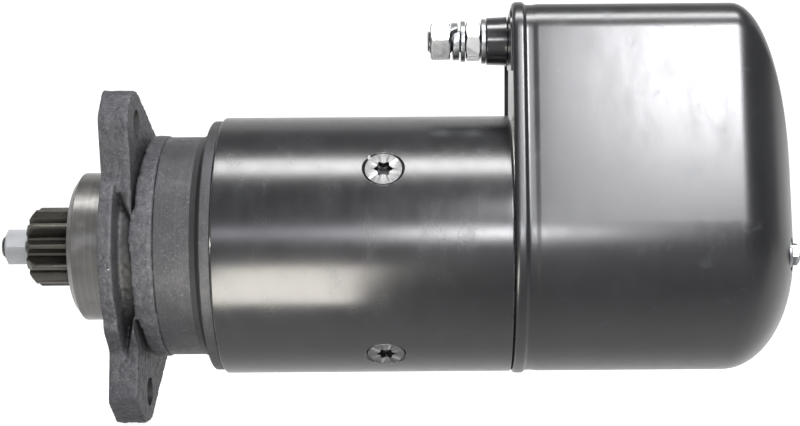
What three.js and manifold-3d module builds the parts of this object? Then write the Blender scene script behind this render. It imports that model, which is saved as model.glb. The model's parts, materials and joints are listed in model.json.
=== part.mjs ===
// A 24 V heavy-duty coaxial starter motor with a sliding pinion, as an assembly of separate pieces.
// Millimetres. Each piece is made with the shaft on the X axis and the flange's front face at x = 0: the
// pinion points to -X, the rear cover to +X, and the battery terminal stands above the shaft, at +Z.
// Directions around the shaft are angles in degrees from -Y towards +Z.
// Last, the whole assembly is moved so that the centre of its box is the origin.
import * as THREE from "three";
import { mergeVertices } from "three/addons/utils/BufferGeometryUtils.js";
import Module from "manifold-3d";

const wasm = await Module();
wasm.setup();

// ---------------------------------------------------------------- driving dimensions, mm

const GAP = 0.3; // clearance between pieces that touch or slide

const HOUSING = { radius: 66, wall: 6, front: 54.8, rear: 200.2 };
const POLE = { middle: 137.5, half: 40.5, face: 44.4, root: 59.6, neckHalf: 15, tip: 50, tipAngle: 36 };
const POLE_ANGLES = [34, -56, 124, -146];
const POLE_SCREW = { shank: 5, head: 9.1, recess: 3.9, lobe: 0.55, sunk: 0.6 };

const FLANGE = { disc: 59.5, plate: 6.9, lug: 14.5, hub: 47, hole: 7.25 };
const LUG_HOLES = [[70, 59.7], [75.2, -85], [73.5, 178]]; // distance from the shaft, angle
const POCKETS = [[-38, 22], [114, 148], [206, 232]]; // angle ranges between the lugs
const SPIGOT = { radius: 38.1, front: -21.4, chamfer: 3.3, nose: 33.5 };
const NECK = { collar: 57, collarFront: 17.4, collarRear: 26.3, radius: 56.3, rear: 43.4 };
const RIM = { foot: 46.6, footRadius: 57.4, front: 49.3, radius: 64.3 };
const NOSE_BORE = 22;

const SPINDLE = { radius: 15.7, end: -61.9, seat: -23.4, spline: 22, splineRoot: 19, splineFront: 44.6, rear: 64 };
const SPLINES = 10;
const PINION = { teeth: 11, tip: 20.5, pitch: 16.5, root: 13.8, bore: 10, front: -46.4, rear: -23.7 };
const NUT = { acrossFlats: 18, bore: 6.1, front: -59.7, rear: -46.7 };

const CLUTCH = { drumOuter: 45.5, drumInner: 41, hub: 27.2, front: 28, wallFront: 67, rear: 71 };
const PLATES = { first: 36, pitch: 2.8, thickness: 2.2 };

const SHAFT = { radius: 14, bore: 6, front: 67.3, rear: 243 };
const CORE = { radius: 43.6, slotFloor: 32, slotWidth: 5, slots: 16 };
const HEAD = { front: 85, rear: 197, outer: 42.5, inner: 16 };
const COMMUTATOR = { radius: 28, riser: 32, front: 197.4, rear: 229, bars: 16 };

const COVER = { radius: 65.9, top: 118.8, corner: 13, lean: 9.5, wall: 1.8 };
const COVER_ENDS = { front: 200.6, straight: 309, dome: 35.7, middle: -9 };
const BEAD = { crest: 1.1, front: 201.7, rear: 206, groove: 0.35, grooveFront: 207.8, grooveRear: 211, end: 213.5 };
const COVER_SCREW = { side: 34, height: -6.4, seat: 336.6, shank: 3, head: 11.5, washer: 7.6, end: 342.4 };

const SHIELD = { ring: 63.7, front: 200.5, face: 202.6, plateRear: 206.4, cup: 60, cupInner: 56, rear: 238, bore: 22 };
const BRUSH_ANGLES = [0, 90, 180, 270].map((turn) => turn + 45);
const BRUSH = { half: 6, front: 207.5, rear: 222, tip: 28.4, tail: 42 };

const SOLENOID = { radius: 46, wall: 4, front: 247, rear: 296, core: 17, bore: 17.6, pole: 12 };
const PLUNGER = { front: 283, collar: 326, neck: 7, disc: 16, rear: 330 };
const ROD = { radius: 4.6, front: 64.4 };

const RELAY = { y: -6, z: 89, radius: 20, front: 226, rear: 282, travel: 3 };
const LEVER = { x: 311, z: 58, up: 26, down: 62, thickness: 4, prong: 5, spread: 8.4, tilt: 9.93 };

const TERMINAL = { y: -6, z: 104.2, radius: 6, outerEnd: 158.8, innerEnd: 215.8 };
const INSULATOR = { front: 188.9, small: 12.1, large: 12.7, sleeve: 9.2 };
const INSULATING_PLATE = { front: 199.6, rear: 202.3, near: -51, far: 12, low: 83.8, high: 114 };

const RADIUS_STEP = 9; // a turned piece gains four sides with each step of its radius

// ---------------------------------------------------------------- finishes

const finish = (color, roughness, metalness) => ({ color, roughness, metalness });
const BLACK_PAINT = finish("#1b1c1e", 0.32, 0.2);
const CAST_BLACK = finish("#3a3b3d", 0.62, 0.35);
const ZINC = finish("#c9ccd0", 0.3, 0.9);
const DARK_STEEL = finish("#5b5956", 0.42, 0.85);
const BRIGHT_STEEL = finish("#b9b8b4", 0.28, 0.9);
const GREY_METAL = finish("#9b9c9a", 0.5, 0.7);
const BLACK_PLASTIC = finish("#17181a", 0.4, 0);
const COPPER = finish("#b0673d", 0.4, 0.9);
const LAMINATION = finish("#6a6c70", 0.55, 0.7);
const BRONZE = finish("#a5813f", 0.45, 0.8);
const CARBON = finish("#2c2b2a", 0.8, 0.1);
const RUBBER = finish("#202020", 0.85, 0);
const SPRING_STEEL = finish("#84868a", 0.35, 0.9);

// ---------------------------------------------------------------- solids

const radians = THREE.MathUtils.degToRad;

// A closed geometry as a solid that can be joined and cut.
function solidOf(geometry) {
  const bare = geometry.index ? geometry.toNonIndexed() : geometry.clone();
  bare.deleteAttribute("normal");
  bare.deleteAttribute("uv");
  const merged = mergeVertices(bare, 1e-4);
  const vertProperties = merged.attributes.position.array;
  const triVerts = new Uint32Array(merged.index.array);
  return new wasm.Manifold(new wasm.Mesh({ numProp: 3, vertProperties, triVerts }));
}

function geometryOf(solid) {
  const mesh = solid.getMesh();
  const indexed = new THREE.BufferGeometry();
  indexed.setAttribute("position", new THREE.BufferAttribute(mesh.vertProperties, 3));
  indexed.setIndex(new THREE.BufferAttribute(mesh.triVerts, 1));
  const geometry = indexed.toNonIndexed();
  geometry.computeVertexNormals();
  return geometry;
}

function join(...geometries) {
  return geometryOf(geometries.map(solidOf).reduce((whole, piece) => whole.add(piece)));
}

function cut(body, ...tools) {
  return geometryOf(tools.map(solidOf).reduce((rest, tool) => rest.subtract(tool), solidOf(body)));
}

function common(one, other) {
  return geometryOf(solidOf(one).intersect(solidOf(other)));
}

// Sides of a turned piece: enough that its facets stay true to the circle.
function sidesFor(radius) {
  return Math.min(4 * Math.round(2 + radius / RADIUS_STEP), 36);
}

// A piece turned about X. The outline holds [x, radius] corners: a closed loop, or one that starts and
// ends on the axis.
function turned(outline, sides = sidesFor(Math.max(...outline.map((corner) => corner[1])))) {
  const points = outline.map(([x, radius]) => new THREE.Vector2(radius, x));
  if (points[0].x > 0) points.push(points[0].clone());
  if (THREE.ShapeUtils.area(points) < 0) points.reverse();
  return new THREE.LatheGeometry(points, sides).rotateZ(-Math.PI / 2);
}

function tube(x0, x1, inner, outer, sides) {
  return turned([[x0, inner], [x0, outer], [x1, outer], [x1, inner]], sides);
}

function rod(x0, x1, radius, sides) {
  return turned([[x0, 0], [x0, radius], [x1, radius], [x1, 0]], sides);
}

function block(x0, x1, y0, y1, z0, z1) {
  const box = new THREE.BoxGeometry(x1 - x0, y1 - y0, z1 - z0);
  return box.translate((x0 + x1) / 2, (y0 + y1) / 2, (z0 + z1) / 2);
}

const TO_YZ = new THREE.Matrix4().makeBasis(
  new THREE.Vector3(0, 1, 0),
  new THREE.Vector3(0, 0, 1),
  new THREE.Vector3(1, 0, 0),
);

// A flat shape, drawn in Y and Z, as a slab from x0 to x1.
function slab(shape, x0, x1, curveSegments = 3) {
  const options = { depth: x1 - x0, bevelEnabled: false, curveSegments };
  return new THREE.ExtrudeGeometry(shape, options).applyMatrix4(TO_YZ).translate(x0, 0, 0);
}

// A straight-sided shape with each corner [y, z, radius] rounded.
function roundedShape(corners) {
  const shape = new THREE.Shape();
  corners.forEach(([y, z, radius], i) => {
    const corner = new THREE.Vector2(y, z);
    const [before, after] = [-1, 1].map((step) => {
      const [nextY, nextZ] = corners[(i + step + corners.length) % corners.length];
      return new THREE.Vector2(nextY, nextZ).sub(corner).normalize();
    });
    const setback = radius / Math.tan(before.angleTo(after) / 2);
    const start = corner.clone().addScaledVector(before, setback);
    const end = corner.clone().addScaledVector(after, setback);
    if (i) shape.lineTo(start.x, start.y);
    else shape.moveTo(start.x, start.y);
    shape.quadraticCurveTo(y, z, end.x, end.y);
  });
  return shape;
}

// The y and z of a point at a radius and an angle around the shaft.
function around(radius, angle) {
  return [-radius * Math.cos(radians(angle)), radius * Math.sin(radians(angle))];
}

// A shape between two radii and two angles.
function sector(inner, outer, from, to) {
  const [start, end] = [180 - to, 180 - from].map(radians);
  const shape = new THREE.Shape();
  shape.absarc(0, 0, outer, start, end, false);
  shape.absarc(0, 0, inner, end, start, true);
  return shape;
}

// A piece made at the top of the shaft, brought to an angle around it.
function turnedTo(geometry, angle) {
  return geometry.rotateX(radians(90 - angle));
}

// A piece made along X, stood on the shaft: its x becomes its height above the shaft.
function stood(geometry, x) {
  return geometry.rotateY(-Math.PI / 2).translate(x, 0, 0);
}

// A closed skin through rings of equally many [y, z] points, each ring at its own x.
function loft(rings) {
  const count = rings[0].points.length;
  const positions = rings.flatMap(({ x, points }) => points.flatMap(([y, z]) => [x, y, z]));
  const triangles = [];
  for (let ring = 0; ring + 1 < rings.length; ring++) {
    for (let i = 0; i < count; i++) {
      const near = ring * count + i;
      const next = ring * count + ((i + 1) % count);
      triangles.push(near, next, next + count, near, next + count, near + count);
    }
  }
  const last = (rings.length - 1) * count;
  for (let i = 1; i + 1 < count; i++) {
    triangles.push(0, i + 1, i, last, last + i, last + i + 1);
  }
  const geometry = new THREE.BufferGeometry();
  geometry.setAttribute("position", new THREE.Float32BufferAttribute(positions, 3));
  geometry.setIndex(triangles);
  return geometry.toNonIndexed();
}

// A round wire wound about X. The helix is closed by flat ends.
class Helix extends THREE.Curve {
  constructor(x0, x1, radius, turns) {
    super();
    Object.assign(this, { x0, x1, radius, turns });
  }
  getPoint(t, target = new THREE.Vector3()) {
    const angle = 2 * Math.PI * this.turns * t;
    const x = THREE.MathUtils.lerp(this.x0, this.x1, t);
    return target.set(x, this.radius * Math.cos(angle), this.radius * Math.sin(angle));
  }
}

function coilSpring(x0, x1, radius, wire, turns) {
  const section = new THREE.Shape();
  section.absarc(0, 0, wire, 0, 2 * Math.PI, false);
  const path = new Helix(x0 + wire, x1 - wire, radius, turns);
  const options = { steps: Math.round(turns * 9), extrudePath: path, curveSegments: 2 };
  return new THREE.ExtrudeGeometry(section, options);
}

function hexagonal(x0, x1, acrossFlats, chamfer) {
  const corner = acrossFlats / Math.sqrt(3);
  const prism = rod(x0, x1, corner, 6);
  const crown = turned([[x0, 0], [x0, corner - chamfer], [x0 + chamfer / 2, corner], [x1, corner], [x1, 0]], 24);
  return common(prism, crown);
}

// ---------------------------------------------------------------- drive end

function flangeOutline() {
  return roundedShape([
    [-49.5, 34, 12],
    [-56.5, 62, 8],
    [-45, 76.5, 9],
    [-31, 76.5, 8],
    [89, 30, 18],
    [89, -30, 18],
    [-1, -90, 8],
    [-17, -90, 8],
    [-36.8, -77.5, 4],
    [-34, -52, 7],
    [-47, -41, 10],
  ]);
}

function driveEndHousing() {
  const bodyOutline = [
    [SPIGOT.front, NOSE_BORE + 4.8],
    [SPIGOT.front, SPIGOT.nose],
    [SPIGOT.front + SPIGOT.chamfer, SPIGOT.radius],
    [0, SPIGOT.radius],
    [0, FLANGE.disc],
    [FLANGE.plate, FLANGE.disc],
    [FLANGE.plate, FLANGE.hub],
    [NECK.collarFront, FLANGE.hub],
    [NECK.collarFront, NECK.collar],
    [NECK.collarRear, NECK.collar],
    [NECK.collarRear, NECK.radius],
    [NECK.rear, NECK.radius],
    [RIM.foot, RIM.footRadius],
    [RIM.front, RIM.radius],
    [HOUSING.front - GAP, RIM.radius],
    [HOUSING.front - GAP, POLE.root],
    [60, POLE.root],
    [60, 53],
    [30, 50.5],
    [24, 42],
    [24, NOSE_BORE],
    [-12.9, NOSE_BORE],
    [-12.9, NOSE_BORE + 4.8],
  ];
  const lugs = slab(flangeOutline(), 0, FLANGE.lug);
  const behindLugs = POCKETS.map(([from, to]) => {
    return slab(sector(FLANGE.hub - 1, 100, from, to), FLANGE.plate, FLANGE.lug + 1);
  });
  const pads = POCKETS.map(([from, to]) => {
    return slab(sector(FLANGE.hub - 2, NECK.collar, from, to), FLANGE.lug + 0.5, NECK.collarFront + 1);
  });
  const holes = LUG_HOLES.map(([distance, angle]) => {
    return rod(-1, FLANGE.lug + 1, FLANGE.hole, 24).translate(0, ...around(distance, angle));
  });
  const mouth = rod(-1, FLANGE.lug + 1, SPIGOT.radius - 5, 40);
  const flange = cut(lugs, ...behindLugs, ...holes, mouth);
  return join(turned(bodyOutline), flange, ...pads);
}

function pinion() {
  const step = (2 * Math.PI) / PINION.teeth;
  const flank = [
    [PINION.root, 13.2],
    [PINION.pitch, 9.4],
    [PINION.pitch + 2, 6.4],
    [PINION.tip, 2.6],
  ];
  const tooth = [...flank, ...flank.map(([radius, half]) => [radius, -half]).reverse()];
  const points = [];
  for (let i = 0; i < PINION.teeth; i++) {
    for (const [radius, half] of tooth) {
      const angle = (i + 0.5) * step - radians(half);
      points.push(new THREE.Vector2(radius * Math.cos(angle), radius * Math.sin(angle)));
    }
  }
  const blank = turned([
    [PINION.front, PINION.bore],
    [PINION.front, PINION.tip - 2.8],
    [PINION.front + 4, PINION.tip + 0.2],
    [PINION.rear, PINION.tip + 0.2],
    [PINION.rear, PINION.bore],
  ]);
  return common(slab(new THREE.Shape(points), PINION.front - 1, PINION.rear + 1), blank);
}

function pinionLockNut() {
  const hex = hexagonal(NUT.front, NUT.rear, NUT.acrossFlats, 1.6);
  return cut(hex, rod(NUT.front - 1, NUT.rear + 1, NUT.bore));
}

// A star of straight splines between two radii, each taking its share of the pitch.
function splineShape(root, tip, share) {
  const shape = new THREE.Shape();
  for (let i = 0; i < SPLINES; i++) {
    const centre = (i * 2 * Math.PI) / SPLINES;
    const half = (Math.PI / SPLINES) * share;
    const corners = [[root, -half], [tip, -half], [tip, half], [root, half]];
    for (const [radius, offset] of corners) {
      const at = [radius * Math.cos(centre + offset), radius * Math.sin(centre + offset)];
      if (i === 0 && radius === root && offset < 0) shape.moveTo(...at);
      else shape.lineTo(...at);
    }
  }
  return shape;
}

function driveSpindle() {
  const thread = NUT.bore - GAP;
  const taper = PINION.bore - GAP;
  const bar = turned([
    [SPINDLE.end, 0],
    [SPINDLE.end, thread - 1],
    [SPINDLE.end + 1, thread],
    [NUT.rear + 0.1, thread],
    [NUT.rear + 0.1, taper],
    [SPINDLE.seat, taper],
    [SPINDLE.seat, SPINDLE.radius],
    [SPINDLE.splineFront + 1, SPINDLE.radius],
    [SPINDLE.splineFront + 1, 0],
  ]);
  const star = slab(splineShape(SPINDLE.splineRoot, SPINDLE.spline, 0.5), SPINDLE.splineFront, SPINDLE.rear);
  return join(bar, star);
}

function clutchHub() {
  const blank = rod(30, 66, CLUTCH.hub);
  const grooves = splineShape(SPINDLE.splineRoot + GAP, SPINDLE.spline + GAP, 0.56);
  return cut(blank, slab(grooves, 29, 67));
}

function clutchDrum() {
  return turned([
    [CLUTCH.front, CLUTCH.drumInner],
    [CLUTCH.front, CLUTCH.drumOuter],
    [CLUTCH.rear, CLUTCH.drumOuter],
    [CLUTCH.rear, SHAFT.radius + GAP],
    [CLUTCH.wallFront, SHAFT.radius + GAP],
    [CLUTCH.wallFront, CLUTCH.drumInner],
  ]);
}

function clutchPlate(order, inner, outer) {
  const x = PLATES.first + order * PLATES.pitch;
  return tube(x, x + PLATES.thickness, inner, outer);
}

function intermediatePlate() {
  return turned([
    [75, 59.5],
    [79, 59.5],
    [79, 27],
    [82, 27],
    [82, NOSE_BORE],
    [72, NOSE_BORE],
    [72, 27],
    [75, 27],
  ]);
}

// ---------------------------------------------------------------- field and armature

function countersink(angle) {
  const mouth = POLE_SCREW.head + 1.4;
  const outside = HOUSING.radius + 1;
  const inside = HOUSING.radius - HOUSING.wall - 1;
  const shank = POLE_SCREW.shank + GAP;
  const depth = mouth - shank;
  const drill = turned([
    [inside, 0],
    [inside, shank],
    [HOUSING.radius - depth, shank],
    [HOUSING.radius, mouth],
    [outside, mouth],
    [outside, 0],
  ]);
  return turnedTo(stood(drill, POLE.middle), angle);
}

function poleHousing() {
  const inner = HOUSING.radius - HOUSING.wall;
  const edge = 0.8;
  const shell = turned([
    [HOUSING.front, inner],
    [HOUSING.front, HOUSING.radius - edge],
    [HOUSING.front + edge, HOUSING.radius],
    [HOUSING.rear - edge, HOUSING.radius],
    [HOUSING.rear, HOUSING.radius - edge],
    [HOUSING.rear, inner],
  ]);
  return cut(shell, ...POLE_ANGLES.map(countersink));
}

function poleShoe(angle) {
  const { face, root, tip, tipAngle, neckHalf } = POLE;
  const atRoot = Math.asin(neckHalf / root);
  const atTip = Math.asin(neckHalf / tip);
  const half = radians(tipAngle);
  const top = Math.PI / 2;
  const section = new THREE.Shape();
  section.absarc(0, 0, root, top - atRoot, top + atRoot, false);
  section.absarc(0, 0, tip, top + atTip, top + half, false);
  section.absarc(0, 0, face, top + half, top - half, true);
  section.absarc(0, 0, tip, top - half, top - atTip, false);
  const shoe = slab(section, POLE.middle - POLE.half, POLE.middle + POLE.half);
  const thread = stood(rod(tip - 1, root + 1, POLE_SCREW.shank + GAP), POLE.middle);
  return turnedTo(cut(shoe, thread), angle);
}

function poleScrew(angle) {
  const top = HOUSING.radius - POLE_SCREW.sunk;
  const cone = POLE_SCREW.head - POLE_SCREW.shank;
  const body = turned([
    [POLE.tip, 0],
    [POLE.tip, POLE_SCREW.shank],
    [top - 0.4 - cone, POLE_SCREW.shank],
    [top - 0.4, POLE_SCREW.head],
    [top, POLE_SCREW.head],
    [top, 0],
  ]);
  const lobes = new THREE.Shape();
  for (let i = 0; i < 24; i++) {
    const turn = (i * Math.PI) / 12;
    const radius = POLE_SCREW.recess + POLE_SCREW.lobe * Math.cos(6 * turn);
    const at = [radius * Math.cos(turn), radius * Math.sin(turn)];
    if (i) lobes.lineTo(...at);
    else lobes.moveTo(...at);
  }
  const recess = slab(lobes, top - 3, top + 1);
  return turnedTo(stood(cut(body, recess), POLE.middle), angle);
}

// Four coils joined by a ring, with a lead that runs back to the relay's fixed contact.
function fieldWinding() {
  const outer = POLE.root - 0.2;
  const inner = POLE.tip + 0.6;
  const [front, rear] = [84, 191];
  const window = POLE.neckHalf + 0.6;
  const coils = POLE_ANGLES.map((angle) => {
    const pad = slab(sector(inner, outer, 47, 133), front, rear);
    const hole = block(POLE.middle - POLE.half - 0.6, POLE.middle + POLE.half + 0.6, -window, window, 40, 70);
    return turnedTo(cut(pad, hole), angle);
  });
  const ring = tube(rear - 3, rear, outer - 4, outer);
  const y = TERMINAL.y;
  const lead = block(rear - 2, 214, y - 4, y + 4, 50, 54);
  const riser = block(210, 214, y - 4, y + 4, 50, 78);
  const contact = rod(213, TERMINAL.innerEnd, 4).translate(0, y, 73.5);
  return join(...coils, ring, lead, riser, contact);
}

function radialSlots(count, inner, outer, width, x0, x1) {
  return Array.from({ length: count }, (_, i) => {
    return block(x0, x1, -width / 2, width / 2, inner, outer).rotateX((i * 2 * Math.PI) / count);
  });
}

function armatureCore() {
  const x0 = POLE.middle - POLE.half;
  const x1 = POLE.middle + POLE.half;
  const stack = tube(x0, x1, SHAFT.radius + GAP, CORE.radius);
  const slots = radialSlots(CORE.slots, CORE.slotFloor, CORE.radius + 2, CORE.slotWidth, x0 - 1, x1 + 1);
  return cut(stack, ...slots);
}

function armatureWinding() {
  const x0 = POLE.middle - POLE.half - 0.5;
  const x1 = POLE.middle + POLE.half + 0.5;
  const frontHead = turned([
    [HEAD.front, HEAD.inner],
    [HEAD.front, HEAD.outer - 5],
    [HEAD.front + 5, HEAD.outer],
    [x0, HEAD.outer],
    [x0, HEAD.inner],
  ]);
  const rearHead = turned([
    [x1, HEAD.inner],
    [x1, HEAD.outer],
    [x1 + 6, HEAD.outer],
    [HEAD.rear, COMMUTATOR.riser + 2],
    [HEAD.rear, HEAD.inner],
  ]);
  const width = CORE.slotWidth - 0.8;
  const bars = radialSlots(CORE.slots, CORE.slotFloor + 0.5, HEAD.outer - 0.5, width, x0 - 1, x1 + 1);
  return join(frontHead, ...bars, rearHead);
}

function commutator() {
  const { radius, riser, front, rear, bars } = COMMUTATOR;
  const drum = turned([
    [front, SHAFT.radius + GAP],
    [front, riser],
    [front + 3, riser],
    [front + 3, radius],
    [rear, radius],
    [rear, SHAFT.radius + GAP],
  ]);
  return cut(drum, ...radialSlots(bars, radius - 1.2, riser + 2, 0.8, front - 1, rear + 1));
}

// ---------------------------------------------------------------- commutator end

// The cover's outline in Y and Z: round below, nearly flat sides that lean in, and a flat top.
function coverOutline(inset) {
  const round = COVER.radius - inset;
  const corner = Math.max(COVER.corner - inset, 1);
  const cornerZ = COVER.top - inset - corner;
  const lean = radians(COVER.lean);
  const cornerY = (round - corner - cornerZ * Math.sin(lean)) / Math.cos(lean);
  const arc = (y, z, radius, from, to, steps) =>
    Array.from({ length: steps + 1 }, (_, i) => {
      const turn = THREE.MathUtils.lerp(from, to, i / steps);
      return [y + radius * Math.cos(turn), z + radius * Math.sin(turn)];
    });
  return [
    ...arc(cornerY, cornerZ, corner, lean, Math.PI / 2, 3),
    ...arc(-cornerY, cornerZ, corner, Math.PI / 2, Math.PI - lean, 3),
    ...arc(0, 0, round, Math.PI - lean, 2 * Math.PI + lean, 18),
  ];
}

// The cover's outline shrunk towards the middle of its end.
function domeRing(inset, turn) {
  const { straight, dome, middle } = COVER_ENDS;
  const share = Math.cos(radians(turn));
  const points = coverOutline(inset).map(([y, z]) => [y * share, middle + (z - middle) * share]);
  return { x: straight + (dome - inset) * Math.sin(radians(turn)), points };
}

function rearCover() {
  const { front, straight } = COVER_ENDS;
  const dome = [22, 42, 60, 75, 86];
  const outside = loft([
    { x: front, points: coverOutline(0) },
    { x: BEAD.front, points: coverOutline(-BEAD.crest) },
    { x: BEAD.rear, points: coverOutline(-BEAD.crest) },
    { x: BEAD.grooveFront, points: coverOutline(BEAD.groove) },
    { x: BEAD.grooveRear, points: coverOutline(BEAD.groove) },
    { x: BEAD.end, points: coverOutline(0) },
    { x: straight, points: coverOutline(0) },
    ...dome.map((turn) => domeRing(0, turn)),
  ]);
  const inside = loft([
    { x: front - 1, points: coverOutline(COVER.wall) },
    { x: straight, points: coverOutline(COVER.wall) },
    ...dome.map((turn) => domeRing(COVER.wall, turn)),
  ]);
  const holes = [-1, 1].map((side) => {
    return rod(320, 350, COVER_SCREW.shank + GAP, 16).translate(0, side * COVER_SCREW.side, COVER_SCREW.height);
  });
  const seats = [-1, 1].map((side) => {
    return rod(COVER_SCREW.seat - 3.6, COVER_SCREW.seat - GAP, COVER_SCREW.washer + 1.5, 24)
      .translate(0, side * COVER_SCREW.side, COVER_SCREW.height);
  });
  const spotFaces = [-1, 1].map((side) => {
    return rod(COVER_SCREW.seat - GAP, 350, COVER_SCREW.washer + 0.8, 24)
      .translate(0, side * COVER_SCREW.side, COVER_SCREW.height);
  });
  return cut(join(cut(outside, inside), ...seats), ...holes, ...spotFaces);
}

// A hexagon-headed screw with a captive washer, running forward into the solenoid.
function coverScrew(side) {
  const { seat, shank, head, washer, end } = COVER_SCREW;
  const body = join(
    rod(SOLENOID.rear - 6, seat + 1, shank, 16),
    rod(seat, seat + 1.6, washer, 28),
    hexagonal(-end, -(seat + 1.4), head * 0.866, 0.9).rotateZ(Math.PI),
  );
  return body.translate(0, side * COVER_SCREW.side, COVER_SCREW.height);
}

function brushBox(inset, outer) {
  const half = BRUSH.half + inset;
  return block(BRUSH.front - inset, BRUSH.rear + inset, -half, half, 30, outer);
}

function commutatorEndShield() {
  const body = turned([
    [193, SHIELD.cupInner],
    [193, POLE.root],
    [SHIELD.front, POLE.root],
    [SHIELD.front, SHIELD.ring - 0.6],
    [SHIELD.front + 0.6, SHIELD.ring],
    [SHIELD.face, SHIELD.ring],
    [SHIELD.face, SHIELD.cup + 1],
    [SHIELD.plateRear, SHIELD.cup],
    [SHIELD.rear, SHIELD.cup],
    [SHIELD.rear, 27],
    [244, 27],
    [244, SHIELD.bore],
    [232, SHIELD.bore],
    [232, 27],
    [SHIELD.rear - 4, 27],
    [SHIELD.rear - 4, SHIELD.cupInner],
  ]);
  const edge = new THREE.Shape(coverOutline(COVER.wall + 0.4).map(([y, z]) => new THREE.Vector2(y, z)));
  const opening = rod(0, 300, SHIELD.cupInner + 1, 48);
  const plate = cut(slab(edge, SHIELD.face, SHIELD.plateRear), opening);
  const windows = BRUSH_ANGLES.map((angle) => turnedTo(block(206.5, 230, -11, 11, 48, 75), angle));
  const leadWindow = block(206.5, 220, TERMINAL.y - 8, TERMINAL.y + 8, 48, 63);
  const terminalHole = rod(190, 210, INSULATOR.sleeve + GAP, 28).translate(0, TERMINAL.y, TERMINAL.z);
  return cut(join(body, plate), ...windows, leadWindow, terminalHole);
}

function brushRing() {
  const ring = tube(224, 228, 31, 55);
  const boxes = BRUSH_ANGLES.map((angle) => {
    const wall = block(BRUSH.front - 2, 225, -BRUSH.half - 2, BRUSH.half + 2, 33, 46);
    return turnedTo(wall, angle);
  });
  const bores = BRUSH_ANGLES.map((angle) => turnedTo(brushBox(GAP, 60), angle));
  const mouth = rod(200, 240, 31, 40);
  return cut(join(ring, ...boxes), ...bores, mouth);
}

function brush(angle) {
  const bar = block(BRUSH.front, BRUSH.rear, -BRUSH.half, BRUSH.half, BRUSH.tip - 3, BRUSH.tail);
  return turnedTo(cut(bar, rod(200, 240, BRUSH.tip, 40)), angle);
}

function brushSpring(angle) {
  const spring = coilSpring(BRUSH.tail + 0.4, SHIELD.cupInner - 0.6, 4.2, 0.7, 3);
  return turnedTo(stood(spring, (BRUSH.front + BRUSH.rear) / 2), angle);
}

// ---------------------------------------------------------------- engagement solenoid and relay

function solenoidYoke() {
  const { radius, wall, front, rear, bore, pole } = SOLENOID;
  const can = turned([
    [front, ROD.radius + GAP],
    [front, radius],
    [rear, radius],
    [rear, bore],
    [rear - wall, bore],
    [rear - wall, radius - wall],
    [front + wall, radius - wall],
    [front + wall, bore],
    [front + pole, bore],
    [front + pole, ROD.radius + GAP],
  ]);
  const threads = [-1, 1].map((side) => {
    return rod(rear - 8, rear + 1, COVER_SCREW.shank + GAP, 16)
      .translate(0, side * COVER_SCREW.side, COVER_SCREW.height);
  });
  const vent = rod(front - 1, front + wall + 1, 2, 16).translate(0, 0, 30);
  return cut(can, ...threads, vent);
}

function solenoidCoil() {
  const { radius, wall, front, rear, bore } = SOLENOID;
  const threadRoom = 6;
  return turned([
    [front + wall + GAP, bore + 0.4],
    [front + wall + GAP, radius - wall - GAP],
    [rear - wall - threadRoom, radius - wall - GAP],
    [rear - wall - threadRoom, bore + 0.4],
  ]);
}

function solenoidCore() {
  const { front, collar, neck, disc, rear } = PLUNGER;
  const shoulder = SOLENOID.rear + 12;
  return turned([
    [front, 0],
    [front, SOLENOID.core],
    [shoulder, SOLENOID.core],
    [shoulder, neck],
    [collar, neck],
    [collar, disc],
    [rear, disc],
    [rear, 0],
  ]);
}

function relayBody() {
  const { radius, front, rear, travel } = RELAY;
  const can = turned([
    [front, 6],
    [front, radius],
    [rear, radius],
    [rear, 4.5],
    [rear - 3, 4.5],
    [rear - 3, 9 + travel],
    [front + 3, 9 + travel],
    [front + 3, 6],
  ]);
  return can.translate(0, RELAY.y, RELAY.z);
}

function relayArmature() {
  const { front, rear } = RELAY;
  const plunger = turned([
    [front - 3, 0],
    [front - 3, 4],
    [front + 8, 4],
    [front + 8, 8.5],
    [rear - 10, 8.5],
    [rear - 10, 4],
    [rear + 13, 4],
    [rear + 13, 0],
  ]);
  return plunger.translate(0, RELAY.y, RELAY.z);
}

// A copper bar that joins the two fixed contacts.
function contactBridge() {
  const [low, high] = [68, 110];
  const front = TERMINAL.innerEnd + RELAY.travel + GAP;
  return block(front, RELAY.front - 3 - GAP, RELAY.y - 5, RELAY.y + 5, low, high);
}

// A forked lever: its two prongs straddle the solenoid core's neck and its upper end holds the relay's rod.
function tripLever() {
  const { x, z, up, down, thickness, prong, spread, tilt } = LEVER;
  const half = thickness / 2;
  const width = spread + prong;
  const upper = block(-half, half, -6, 6, -2, up);
  const yoke = block(-half, half, -width, width, -14, 4);
  const prongs = [-1, 1].map((side) => {
    const edges = [side * spread, side * width].sort((a, b) => a - b);
    return block(-half, half, ...edges, -down, -10);
  });
  const boss = rod(-9, 9, 5, 20).rotateZ(Math.PI / 2);
  const pinHole = rod(-10, 10, 2.5, 16).rotateZ(Math.PI / 2);
  const lever = cut(join(upper, yoke, ...prongs, boss), pinHole);
  return lever.rotateY(radians(-tilt)).translate(x, 0, z);
}

// ---------------------------------------------------------------- battery terminal

function onTerminal(geometry) {
  return geometry.translate(0, TERMINAL.y, TERMINAL.z);
}

function terminalStud() {
  const stud = turned([
    [TERMINAL.outerEnd, 0],
    [TERMINAL.outerEnd, TERMINAL.radius - 1.2],
    [TERMINAL.outerEnd + 1.2, TERMINAL.radius - 0.2],
    [210.5, TERMINAL.radius - 0.2],
    [210.5, 8],
    [TERMINAL.innerEnd, 8],
    [TERMINAL.innerEnd, 0],
  ]);
  return onTerminal(stud);
}

function terminalNut(x0, x1, acrossFlats, twist) {
  const hex = hexagonal(x0, x1, acrossFlats, 1.4).rotateX(radians(twist));
  return onTerminal(cut(hex, rod(x0 - 1, x1 + 1, TERMINAL.radius + 0.1)));
}

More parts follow.
